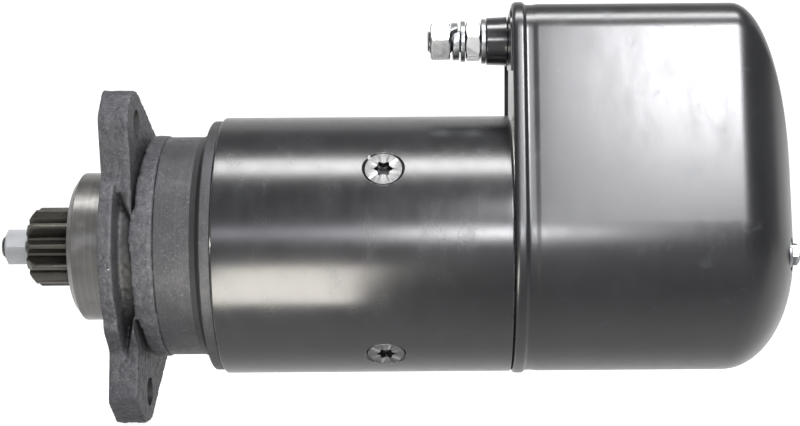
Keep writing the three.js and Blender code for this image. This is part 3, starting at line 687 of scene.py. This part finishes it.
def drive_end_casting():
    """The rough part of the housing: flange, lugs, hub and collar, with cast corners and skin."""
    front, plate, lug = FLANGE["front"], FLANGE["plate"], FLANGE["lug"]
    hub, disc = FLANGE["hub"], FLANGE["disc"]
    radius, inner, rear = COLLAR["radius"], COLLAR["inner"], COLLAR["rear"]
    lugs = prism("lugs", rounded(FLANGE_OUTLINE, 8), front, lug)
    body = join(
        cut(lugs, lathe("mouth", [(-3, 0), (-3, 36), (20, 36), (20, 0)])),
        lathe("plate", [(front, 30), (front, disc), (plate, disc), (plate, 30)]),
        lathe("hub", [(front, inner), (front, hub), (24, hub), (24, inner)]),
        lathe("collar", [(18, inner), (18, radius), (rear, radius), (rear, inner)]),
        sector_band("band", [(angle, x, rear - 1) for angle, x in COLLAR_FRONT], inner, radius),
    )
    behind = lathe("behind", [(lug, 58), (lug, 100), (40, 100), (40, 58)])
    body = cut(body, behind, *[sector_band("pocket", stations, hub + 0.5, 110) for stations in POCKETS])
    remesh = body.modifiers.new("skin", "REMESH")
    remesh.mode = "VOXEL"
    remesh.voxel_size = 0.9
    settle(body)
    soften = body.modifiers.new("soften", "SMOOTH")
    soften.factor = 0.5
    soften.iterations = 7
    settle(body)
    return roughened(body, 0.34, 3.2, 1)


def drive_end_housing():
    neck_front, neck_rear, neck = NECK["front"], NECK["rear"], NECK["radius"]
    outside = rounded([
        (-21.4, 20, 0), (-21.4, 33.5, 0.4), (-18.1, 38.1, 0.5), (-4.2, 38.1, 0.2), (-3.7, 37.3, 0.2),
        (-0.6, 37.3, 0), (1.5, 37.3, 0), (1.5, 46, 0), (neck_front, 46, 0), (neck_front, neck, 0.5),
        (neck_rear, neck, 0.4), (46.6, 57.4, 0.8), (49.3, 64.3, 0.9), (54.5, 64.3, 0.3), (54.5, 59.6, 0),
        (60, 59.6, 0.3), (60, 20, 0),
    ], 4)
    inside = [
        (-30, 0), (-30, 26.8), (-12.9, 26.8), (-12.9, 22), (24, 22), (24, 42), (30, 50.5), (58, 53), (70, 56),
        (70, 0),
    ]
    cast = drive_end_casting()
    front = box("front", (0, -150, -150), (60, 150, 150))
    body = join(common(cast, front), lathe("machined", outside))
    body = cut(body, lathe("hollow", inside))
    holes = [Vector(around(distance, angle)) for distance, angle in LUG_HOLES]
    for centre in holes:
        hole = lathe("hole", [(-5, 0), (-5, LUG_HOLE_RADIUS), (20, LUG_HOLE_RADIUS), (20, 0)], 48)
        body = cut(body, transform(hole, Matrix.Translation(centre)))

    cast_face, turned_face, bright_face, groove_face = range(4)

    def pick(centre, normal):
        radius = math.hypot(centre.y, centre.z)
        spigot = centre.x < -0.2 and radius > 30
        rim_groove = neck_rear + 0.2 < centre.x < 49.0 and radius > 55.5
        behind_flange = 6.5 < centre.x < 17.2 and radius < 56 and abs(normal.x) < 0.75
        in_hole = any((centre - hole).yz.length < LUG_HOLE_RADIUS + 0.2 for hole in holes)
        if spigot:
            return bright_face
        # The pockets behind the flange and the lug holes take the near-black look as painted shade; the slope
        # behind the neck is made near-black too.
        if rim_groove or behind_flange or in_hole:
            return groove_face
        if centre.x < 0 or centre.x > neck_front and radius > 55:
            return turned_face
        return cast_face

    looks = [LOOKS["cast"], LOOKS["neck"], LOOKS["bright"], LOOKS["groove"]]
    finish(body, "drive_end_housing", "starter_body", looks, pick, 32)


def pinion():
    """Straight teeth with curved flanks, each land eased and each front end backed off."""
    tip, pitch, root, base = 20.5, 16.6, 13.8, 15.0
    front, rear, teeth = PINION["front"], PINION["rear"], PINION["teeth"]
    flank = [  # (radius, half the tooth's width in degrees)
        (root, 13.6), (root + 0.4, 12.0), (base, 10.6), (pitch, 8.6), (18.0, 6.3), (19.4, 4.2),
        (tip - 0.15, 2.9), (tip, 2.2), (tip, 0),
    ]
    side = [(radius, math.radians(width)) for radius, width in flank]
    tooth = [(radius, -width) for radius, width in side] + side[-2::-1]
    step = 2 * math.pi / teeth
    outline = [polar(radius, (index + 0.5) * step + offset) for index in range(teeth)
               for radius, offset in tooth]
    blank = rounded([
        (front, 10, 0.3), (front, 16.4, 0.4), (front + 0.8, 17.6, 0.4), (front + 3.6, 20.7, 1.0),
        (rear, 20.7, 0.4), (rear, 10, 0.3),
    ], 3)
    gear = common(prism("gear", outline, front, rear), lathe("blank", blank, 110))
    bevelled(gear, 0.28, 2, 28)
    finish(gear, "pinion", "pinion_set", [LOOKS["oiled"]], smooth=40)


def hexagon_nut(x0, x1, across, bore, chamfer_front, chamfer_rear, twist):
    """A hexagon with its corners turned off at one or both ends and a bevelled thread mouth."""
    corner = across / math.sqrt(3)
    body = prism("hex", hexagon(across, twist), x0, x1)
    crown = rounded([
        (x0, 0, 0), (x0, corner - chamfer_front * 1.7, 0.2), (x0 + chamfer_front, corner + 0.3, 0),
        (x1 - chamfer_rear, corner + 0.3, 0), (x1, corner - chamfer_rear * 1.7, 0.2), (x1, 0, 0),
    ], 3)
    body = common(body, lathe("crown", crown, 72))
    mouth = [
        (x0 - 1, 0), (x0 - 1, bore + 1.6), (x0 + 0.8, bore - 0.2), (x1 - 0.8, bore - 0.2),
        (x1 + 1, bore + 1.6), (x1 + 1, 0),
    ]
    body = cut(body, lathe("bore", mouth, 48))
    return bevelled(body, 0.22, 2, 25)


def lock_nut():
    nut = hexagon_nut(LOCK_NUT["front"], LOCK_NUT["rear"], 18, 6.1, 1.6, 0.9, 0)
    finish(nut, "pinion_lock_nut", "pinion_set", [LOOKS["zinc"]])


def threaded_rod(name, x0, x1, radius, pitch, lead):
    """A rod with a helical thread and a front end chamfered over the lead's length."""
    depth = 0.61 * pitch
    steps, rings_per_turn = 48, 6
    count = int((x1 - x0) / (pitch / rings_per_turn))
    rings = []
    for station in range(count + 1):
        x = x0 + (x1 - x0) * station / count
        ring = []
        for i in range(steps):
            share = ((x - x0) / pitch + i / steps) % 1
            valley = abs(2 * share - 1)
            local = radius - depth * max(0, min(1, 1.25 * valley - 0.12))
            local = min(local, radius - lead + (x - x0) * 0.9 if x - x0 < lead else local)
            ring.append(around(local, 360 * i / steps, x))
        rings.append(ring)
    return loft(name, rings)


def spindle_end():
    """The spindle with its threaded front end, its ground journal and its rear splines."""
    low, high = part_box("drive_spindle")
    front = (low.x - ORIGIN.x) / MM
    rear = (high.x - ORIGIN.x) / MM
    thread = threaded_rod("thread", front, -46.0, 5.75, 1.5, 0.9)
    bar = lathe("bar", rounded([
        (-46.5, 0, 0), (-46.5, 9.6, 0.3), (-23.4, 9.6, 0), (-23.4, 15.6, 0.5), (46, 15.6, 0.3), (46, 0, 0),
    ], 3), 96)
    splines, start = 10, 44.6
    tooth = [(19, -9), (21.9, -8.4), (21.9, 8.4), (19, 9)]
    outline = [polar(radius, math.radians(360 * i / splines + offset)) for i in range(splines)
               for radius, offset in tooth]
    crown = lathe("crown", rounded([
        (start, 0, 0), (start, 21, 0.3), (start + 1.2, 22.2, 0.3), (rear - 1.2, 22.2, 0.3), (rear, 21, 0.3),
        (rear, 0, 0),
    ], 3), 96)
    body = join(bar, common(prism("splines", outline, start, rear), crown), thread)
    finish(body, "drive_spindle", "pinion_set", [LOOKS["bright"]], smooth=40)


def nose_seal():
    seal = lathe("seal", rounded([
        (-20.6, 18.4, 0.3), (-19.6, 17.4, 0.3), (-20.9, 21.5, 0.6), (-20.9, 26.4, 0.4), (-13.3, 26.4, 0.3),
        (-13.3, 23.2, 0.3), (-17.8, 22.4, 0.4), (-17.8, 18.6, 0.4), (-14.6, 16.3, 0.3), (-17.2, 16.2, 0.3),
    ], 3), 96)
    finish(seal, "shaft_seal", "starter_body", [LOOKS["rubber"]], smooth=40)


# ------------------------------------------------------------------ pole housing


def pole_housing():
    """A tube with a ring of points every 3 mm, so that its skin stays even around the screw seats."""
    front, rear, radius, inner = HOUSING["front"], HOUSING["rear"], HOUSING["radius"], HOUSING["inner"]
    stations = [(x, radius, 0) for x in np.arange(front + 3.2, rear - 3, 3)]
    shell = lathe("shell", rounded([
        (front, inner, 0.2), (front, radius, 0.9), *stations, (rear, radius, 0.9), (rear, inner, 0.2),
    ], 5), 192)
    seat = rounded([
        (50, 0, 0), (50, 5.3, 0), (60.9, 5.3, 0.2), (65.6, 10.0, 0.4), (67.2, 11.9, 0), (72, 12, 0),
        (72, 0, 0),
    ], 3)
    for angle in POLE_SCREWS["angles"]:
        drill = lathe("drill", seat, 72)
        shell = cut(shell, to_angle(radial(drill, POLE_SCREWS["x"]), angle))
    finish(shell, "pole_housing", "starter_body", [LOOKS["housing"]], smooth=30)


def store_turn(obj):
    """Stores each point's distance from the X axis, from which the screw's look makes its rings."""
    ring = obj.data.attributes.new("turn", "FLOAT", "POINT")
    ring.data.foreach_set("value", [math.hypot(vertex.co.y, vertex.co.z) for vertex in obj.data.vertices])


def pole_screw(index, angle):
    """A countersunk screw with a six-lobe recess."""
    top = POLE_SCREWS["head"]
    body = lathe("screw", rounded([
        (50, 0, 0), (50, 5, 0.4), (60.9, 5, 0.3), (top - 0.5, 9.1, 0.25), (top, 9.15, 0.25), (top, 0, 0),
    ], 3), 72)
    turns = [2 * math.pi * i / 72 for i in range(72)]
    lobes = [polar(3.85 + 0.62 * math.cos(6 * turn) + 0.06 * math.cos(12 * turn), turn) for turn in turns]
    sizes = [(top - 3.6, 0.5), (top - 3.0, 0.97), (top - 0.3, 1.0), (top + 1, 1.16)]
    body = cut(body, loft("recess", [[(x, y * size, z * size) for y, z in lobes] for x, size in sizes]))
    bevelled(body, 0.1, 2, 35)
    store_turn(body)
    to_angle(radial(body, POLE_SCREWS["x"]), angle)
    finish(body, f"pole_screw_{index}", "starter_body", [LOOKS["screw"]])


# ------------------------------------------------------------------ rear cover


def cover_outline(inset, arc_points=14, round_points=96):
    """The cover's (y, z) outline: round below, flat sides that lean in, and a flat top."""
    radius = COVER["radius"] - inset
    corner = max(COVER["corner"] - inset, 1)
    corner_z = COVER["top"] - inset - corner
    lean = math.radians(COVER["lean"])
    corner_y = (radius - corner - corner_z * math.sin(lean)) / math.cos(lean)

    def arc(y, z, r, start, end, count):
        turns = np.linspace(start, end, count)
        return [(y + r * math.cos(turn), z + r * math.sin(turn)) for turn in turns]

    def straight(a, b):
        shares = np.linspace(0, 1, 16)[1:-1]
        return [(a[0] + (b[0] - a[0]) * share, a[1] + (b[1] - a[1]) * share) for share in shares]

    far = arc(corner_y, corner_z, corner, lean, math.pi / 2, arc_points)
    near = arc(-corner_y, corner_z, corner, math.pi / 2, math.pi - lean, arc_points)
    below = arc(0, 0, radius, math.pi - lean, 2 * math.pi + lean, round_points)
    top = straight(far[-1], near[0])
    near_side = straight(near[-1], below[0])
    far_side = straight(below[-1], far[0])
    return far + top + near + near_side + below + far_side


def room_in_cover(name, x0, x1):
    """A slab that fits loosely inside the cover."""
    return prism(name, cover_outline(COVER["wall"] + SHIELD["gap"], 10, 72), x0, x1)


def cover_ring(x, inset, share=1.0):
    """The cover's outline at x, drawn in by inset and scaled towards the middle of the dome."""
    middle = COVER_ENDS["middle"]
    return [(x, y * share, middle + (z - middle) * share) for y, z in cover_outline(inset)]


def dome_rings(inset):
    """Rings over the rounded rear end; they stop just short of its pole."""
    rings = []
    for turn in np.linspace(3, 89.2, 26):
        angle = math.radians(turn)
        x = COVER_ENDS["straight"] + (COVER_ENDS["dome"] - inset) * math.sin(angle)
        rings.append(cover_ring(x, inset, math.cos(angle)))
    return rings


BEAD_PROFILE = [  # (x, inset) over the rolled bead and the groove behind it
    (200.6, 1.2), (200.65, 0.6), (200.9, 0.05), (201.3, -0.45), (201.8, -0.8), (202.5, -1.02),
    (203.3, -1.08), (205.2, -1.08), (205.9, -0.95), (206.4, -0.6), (206.8, -0.15), (207.2, 0.15),
    (207.7, 0.32), (208.4, 0.36), (210.3, 0.36), (211.2, 0.3), (212.2, 0.13), (213.5, 0.0),
]


def rear_cover():
    outside = [cover_ring(x, inset) for x, inset in BEAD_PROFILE]
    outside += [cover_ring(x, 0) for x in np.linspace(222, COVER_ENDS["straight"], 9)]
    outside += dome_rings(0)
    wall = COVER["wall"]
    inside = [cover_ring(x, wall) for x in (200, 240, COVER_ENDS["straight"])] + dome_rings(wall)
    shell = cut(loft("outside", outside), loft("inside", inside))
    flat, rear = COVER_SCREW["seat"] - 0.3, 352
    for side in (-1, 1):
        seat = lathe("seat", [(333, 0), (333, 9.1), (flat, 9.1), (flat, 0)], 64)
        face = lathe("face", rounded([(flat, 0, 0), (flat, 8.4, 0.5), (rear, 8.9, 0), (rear, 0, 0)], 3), 64)
        hole = lathe("hole", [(320, 0), (320, 3.3), (rear, 3.3), (rear, 0)], 32)
        shell = join(shell, on_cover_screw(seat, side))
        shell = cut(shell, on_cover_screw(face, side), on_cover_screw(hole, side))
    finish(shell, "rear_cover", "starter_body", [LOOKS["cover"]], smooth=32)


def on_cover_screw(obj, side):
    """Moves a piece made on the shaft to the near (-1) or far (1) screw of the cover."""
    return transform(obj, Matrix.Translation((0, side * COVER_SCREW["side"], COVER_SCREW["height"])))


def cover_screw(node, side):
    """A hexagon head with a captive washer on a plain shank."""
    seat, end = COVER_SCREW["seat"], COVER_SCREW["end"]
    washer = lathe("washer", rounded([
        (seat, 0, 0), (seat, 7.6, 0.3), (seat + 1.5, 7.5, 0.6), (seat + 1.8, 5.2, 0.3), (seat + 1.8, 0, 0),
    ], 4), 72)
    base = seat + 1
    shank = lathe("shank", rounded([(290, 0, 0), (290, 2.9, 0.4), (base, 2.9, 0), (base, 0, 0)], 3), 32)
    crown = lathe("crown", rounded([
        (base, 0, 0), (base, 7, 0), (end - 1.5, 6.2, 0.8), (end, 4.2, 0.9), (end, 0, 0),
    ], 4), 72)
    head = common(prism("head", hexagon(10, 12), base, end), crown)
    body = bevelled(join(washer, shank, head), 0.16, 2, 30)
    finish(on_cover_screw(body, side), node, "starter_body", [LOOKS["zinc"]])


def end_shield():
    """The plate that closes the housing and the cover, with the cup that holds the brush gear."""
    front, rear, cup = SHIELD["front"], SHIELD["rear"], SHIELD["cup"]
    inner = cup - 4
    body = lathe("cup", rounded([
        (193, inner, 0), (193, 59.6, 0.4), (200.5, 59.6, 0), (200.5, 63.7, 0.4), (front, 63.7, 0),
        (front, cup, 0), (238, cup, 1), (238, 27, 0), (244, 27, 0.5), (244, 22, 0.3), (232, 22, 0.3),
        (232, 27, 0), (234, 27, 0), (234, inner, 0),
    ], 3))
    opening = lathe("opening", [(190, 0), (190, 57), (240, 57), (240, 0)], 96)
    plate = cut(room_in_cover("plate", front, rear), opening)
    behind = rear + 0.1
    windows = [to_angle(box("window", (behind, -75, -11), (230, -48, 11)), 45 + 360 / BRUSHES * i)
               for i in range(BRUSHES)]
    lead = box("lead", (behind, TERMINAL["y"] - 8, 48), (220, TERMINAL["y"] + 8, 63))
    body = cut(join(body, plate), *windows, lead, terminal_hole(48))
    finish(body, "commutator_end_shield", "starter_body", [LOOKS["shield"]])


# ------------------------------------------------------------------ battery terminal


def on_terminal(obj):
    """Moves a piece made on the shaft to the terminal's own axis."""
    return transform(obj, Matrix.Translation((0, TERMINAL["y"], TERMINAL["z"])))


def terminal_hole(steps):
    radius = TERMINAL["hole"]
    return on_terminal(lathe("hole", [(190, 0), (190, radius), (210, radius), (210, 0)], steps))


def terminal():
    """The stud with its nuts and washers, from the free end towards the cover."""
    across, thread = TERMINAL["across"], TERMINAL["thread"]
    foot = lathe("foot", rounded([(210.5, 0, 0), (210.5, 7.9, 0.4), (215.8, 7.9, 0.4), (215.8, 0, 0)], 3), 64)
    stud = join(threaded_rod("stud", 158.8, 211, thread - 0.15, 1.75, 1.0), foot)
    finish(on_terminal(stud), "terminal_stud", "starter_body", [LOOKS["zinc"]], smooth=45)
    outer = hexagon_nut(160.3, 170.4, across, thread, 1.3, 1.0, 3)
    finish(on_terminal(outer), "terminal_nut_outer", "starter_body", [LOOKS["zinc"]])
    inner = hexagon_nut(178.4, 186, across, thread, 1.1, 1.1, 54.5)
    finish(on_terminal(inner), "terminal_nut_inner", "starter_body", [LOOKS["zinc"]])
    bore = thread + 0.3
    for node, x0, x1, radius in (("terminal_washer_outer", 175.8, 178, 10.4),
                                 ("terminal_washer_inner", 186.3, 188.6, 11.4)):
        section = rounded([(x0, bore, 0.3), (x0, radius, 0.45), (x1, radius, 0.3), (x1, bore, 0.3)], 4)
        finish(on_terminal(lathe("washer", section, 96)), node, "starter_body", [LOOKS["zinc"]])
    finish(on_terminal(spring_washer()), "terminal_spring_washer", "starter_body", [LOOKS["zinc"]])


def spring_washer():
    """A split ring of square wire whose two ends stand apart, with slanted end faces."""
    x0, x1, inner, outer = 170.8, 175.4, 6.4, 9.55
    rise, slant = 1.3, 14
    width = x1 - x0 - rise
    section = rounded([(0, inner, 0.25), (0, outer, 0.35), (width, outer, 0.35), (width, inner, 0.25)], 3)
    start, sweep, count = 34, 347, 96
    rings = []
    for step in range(count + 1):
        share = step / count
        angle, base = start + sweep * share, x0 + rise * share
        rings.append([around(radius, angle + slant * (along / (x1 - x0) - 0.4), base + along)
                      for along, radius in section])
    return loft("spring", rings)


def insulator():
    """A moulded sleeve with a shallow step at its foot."""
    sleeve = lathe("sleeve", rounded([
        (188.9, 6.2, 0.2), (188.9, 12.0, 0.5), (197.4, 12.35, 0), (199.3, 12.7, 0.2), (199.3, 9.2, 0),
        (209.8, 9.2, 0.3), (209.8, 6.2, 0.2),
    ], 4), 96)
    finish(on_terminal(sleeve), "terminal_insulator", "starter_body", [LOOKS["plastic"]])


def insulating_plate():
    """The sheet behind the insulator, trimmed to the cover's inside."""
    outline = [(-51, 83.8, 2), (-51, 114, 4), (12, 114, 4), (12, 95.8, 2), (-4, 93.3, 2), (-9, 88.7, 2)]
    plate = common(prism("plate", rounded(outline, 5), 199.6, 202.3), room_in_cover("room", 199, 203))
    plate = bevelled(cut(plate, terminal_hole(64)), 0.4, 3, 40)
    finish(plate, "insulating_plate", "starter_body", [LOOKS["plastic"]])


# ------------------------------------------------------------------ springs


def coil(name, x0, x1, radius, wire, turns):
    """A round-wire coil spring along X; wire is the wire's radius."""
    sides, per_turn = 10, 40
    count = round(turns * per_turn)
    section = [polar(wire, 2 * math.pi * side / sides) for side in range(sides)]
    rings = []
    for step in range(count + 1):
        share = step / count
        angle, x = 360 * turns * share, x0 + wire + (x1 - x0 - 2 * wire) * share
        rings.append([around(radius + out, angle, x + along) for out, along in section])
    return loft(name, rings)


def return_springs():
    """The spindle's and the core's return springs, each an even coil from its front seat."""
    for node, joint, x0, x1, radius, wire in (
        ("spindle_return_spring", "pinion_slide", 18.6, 44.3, 17.9, 0.8),
        ("core_return_spring", "solenoid_stroke", 259.4, 282.6, 12, 0.9),
    ):
        body = coil(node, x0, x1, radius, wire, 3.5)
        spring = finish(body, node, "starter_body", [LOOKS["spring"]], smooth=60)
        place((x0, 0, 0))
        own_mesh(spring)


def brush_springs():
    """Each pushes its brush inwards: a coil from the brush's tail out to the wall."""
    tail, wall = 42.4, 55.4
    for index in range(1, BRUSHES + 1):
        node = f"brush_spring_{index}"
        low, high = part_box(node)
        middle = ((low + high) / 2 - ORIGIN) / MM
        angle = math.degrees(math.atan2(middle.z, -middle.y))
        body = to_angle(radial(coil(node, tail, wall, 4.2, 0.7, 3), middle.x), angle)
        spring = finish(body, node, "starter_body", [LOOKS["spring"]], smooth=60)
        place(around(wall, angle, middle.x))
        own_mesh(spring)


# ------------------------------------------------------------------ inside


def inner_pieces():
    """The CAD nodes that stay visible: each takes the look of its slot and smooth round faces."""
    for node, obj in frame["nodes"].items():
        if obj.hide_render:
            continue
        obj.data.materials.clear()
        obj.data.materials.append(LOOKS[LOOK_OF_SLOT[SLOT_OF[node]]])
        obj.data.shade_smooth()
        obj.data.set_sharp_from_angle(angle=math.radians(28))


# ------------------------------------------------------------------ studio


def camera():
    """A level camera beside the starter, a little past its middle."""
    data = bpy.data.cameras.new("camera")
    data.lens = CAMERA["lens"]
    data.sensor_width = 36
    data.shift_x, data.shift_y = CAMERA["shift"]
    data.clip_start = 0.01
    data.clip_end = 50
    obj = bpy.data.objects.new("camera", data)
    bpy.context.scene.collection.objects.link(obj)
    roll = Matrix.Rotation(CAMERA["roll"], 4, "Z")
    look = Matrix.Rotation(math.radians(90), 4, "X")
    obj.matrix_world = Matrix.Translation(place(CAMERA["place"])) @ look @ roll
    bpy.context.scene.camera = obj


def softbox(name, centre, target, width, height, radiance, color=(1, 1, 1)):
    """An area light whose own surface has the given brightness."""
    data = bpy.data.lights.new(name, "AREA")
    data.shape = "RECTANGLE"
    data.size = width * MM
    data.size_y = height * MM
    data.energy = radiance * math.pi * data.size * data.size_y
    data.color = color
    obj = bpy.data.objects.new(name, data)
    bpy.context.scene.collection.objects.link(obj)
    obj.location = place(centre)
    aim = place(target) - obj.location
    obj.rotation_euler = aim.to_track_quat("-Z", "Y").to_euler()
    obj.visible_camera = False


def floor_look():
    """Pale paper: white to the camera and behind the starter, dim where the starter mirrors it in front."""
    look = Look("floor_paper", (0.2, 0.2, 0.2), 0.8)
    look.tint(look.ramp(look.noise(300, 3), 0.4, 0.7), (0.19, 0.19, 0.195))
    look.rougher(look.ramp(look.noise(40, 3), 0.4, 0.7), 0.1)
    seen = look.node("ShaderNodeLightPath").outputs["Is Camera Ray"]
    behind = look.ramp(look.axis("Y"), -150, -50)
    glow = look.math("MULTIPLY", look.math("MAXIMUM", seen, behind), 0.85)
    look.shader.inputs["Emission Color"].default_value = (1, 1, 1, 1)
    look.link(look.shader.inputs["Emission Strength"], look.math("ADD", glow, 0.08))
    return look.done()


def floor():
    """A sheet that lies flat under the starter and curves up behind it."""
    flat_end, bend, height = 900, 700, 2600
    profile = [(-2500, FLOOR_HEIGHT), (flat_end, FLOOR_HEIGHT)]
    for turn in np.linspace(0, 90, 13)[1:]:
        angle = math.radians(turn)
        profile.append((flat_end + bend * math.sin(angle), FLOOR_HEIGHT + bend * (1 - math.cos(angle))))
    profile.append((flat_end + bend, height))
    points = [tuple(place((x, y, z))) for x in (-3500, 3800) for y, z in profile]
    count = len(profile)
    faces = [(i, i + 1, i + 1 + count, i + count) for i in range(count - 1)]
    sheet = mesh_object("floor", points, faces)
    sheet.data.materials.append(floor_look())
    sheet.data.shade_smooth()


def lights():
    cool, cooler, warm = (0.97, 0.97, 1.0), (0.92, 0.92, 1.0), (1.0, 0.96, 0.88)
    softbox("key", (412, -820, 482), (290, -60, 60), 130, 200, 62, cool)
    softbox("key_right", (565, -820, 505), (320, -60, 60), 190, 200, 62, cool)
    softbox("fill_high", (285, -820, 450), (230, -60, 60), 70, 220, 6, cooler)
    softbox("front", (225, -820, 128), (170, -60, 10), 170, 90, 62, cool)
    softbox("fill", (-10, -820, 140), (60, -60, 10), 240, 110, 8, (0.9, 0.9, 1.0))
    softbox("overhead", (270, -290, 800), (270, -40, 40), 760, 220, 23)
    softbox("overhead_left", (-220, -290, 800), (-20, -20, 20), 220, 160, 8)
    softbox("low_left", (70, -200, -88), (70, -200, 0), 100, 190, 17, warm)


def world():
    """White to the camera, dimmer as light on the starter."""
    made = bpy.data.worlds.new("world")
    made.use_nodes = True
    tree = made.node_tree
    background = tree.nodes["Background"]
    background.inputs["Color"].default_value = (1, 1, 1, 1)
    seen = tree.nodes.new("ShaderNodeLightPath")
    strength = tree.nodes.new("ShaderNodeMapRange")
    strength.inputs["To Min"].default_value = 0.4
    strength.inputs["To Max"].default_value = 1.0
    tree.links.new(seen.outputs["Is Camera Ray"], strength.inputs["Value"])
    tree.links.new(strength.outputs[0], background.inputs["Strength"])
    bpy.context.scene.world = made
    bpy.context.scene.view_settings.view_transform = "Standard"


drive_end_housing()
pinion()
lock_nut()
spindle_end()
nose_seal()
pole_housing()
for index, angle in enumerate(POLE_SCREWS["angles"], 1):
    pole_screw(index, angle)
rear_cover()
cover_screw("cover_screw_near", -1)
cover_screw("cover_screw_far", 1)
end_shield()
terminal()
insulator()
insulating_plate()
return_springs()
brush_springs()
inner_pieces()
camera()
floor()
lights()
world()
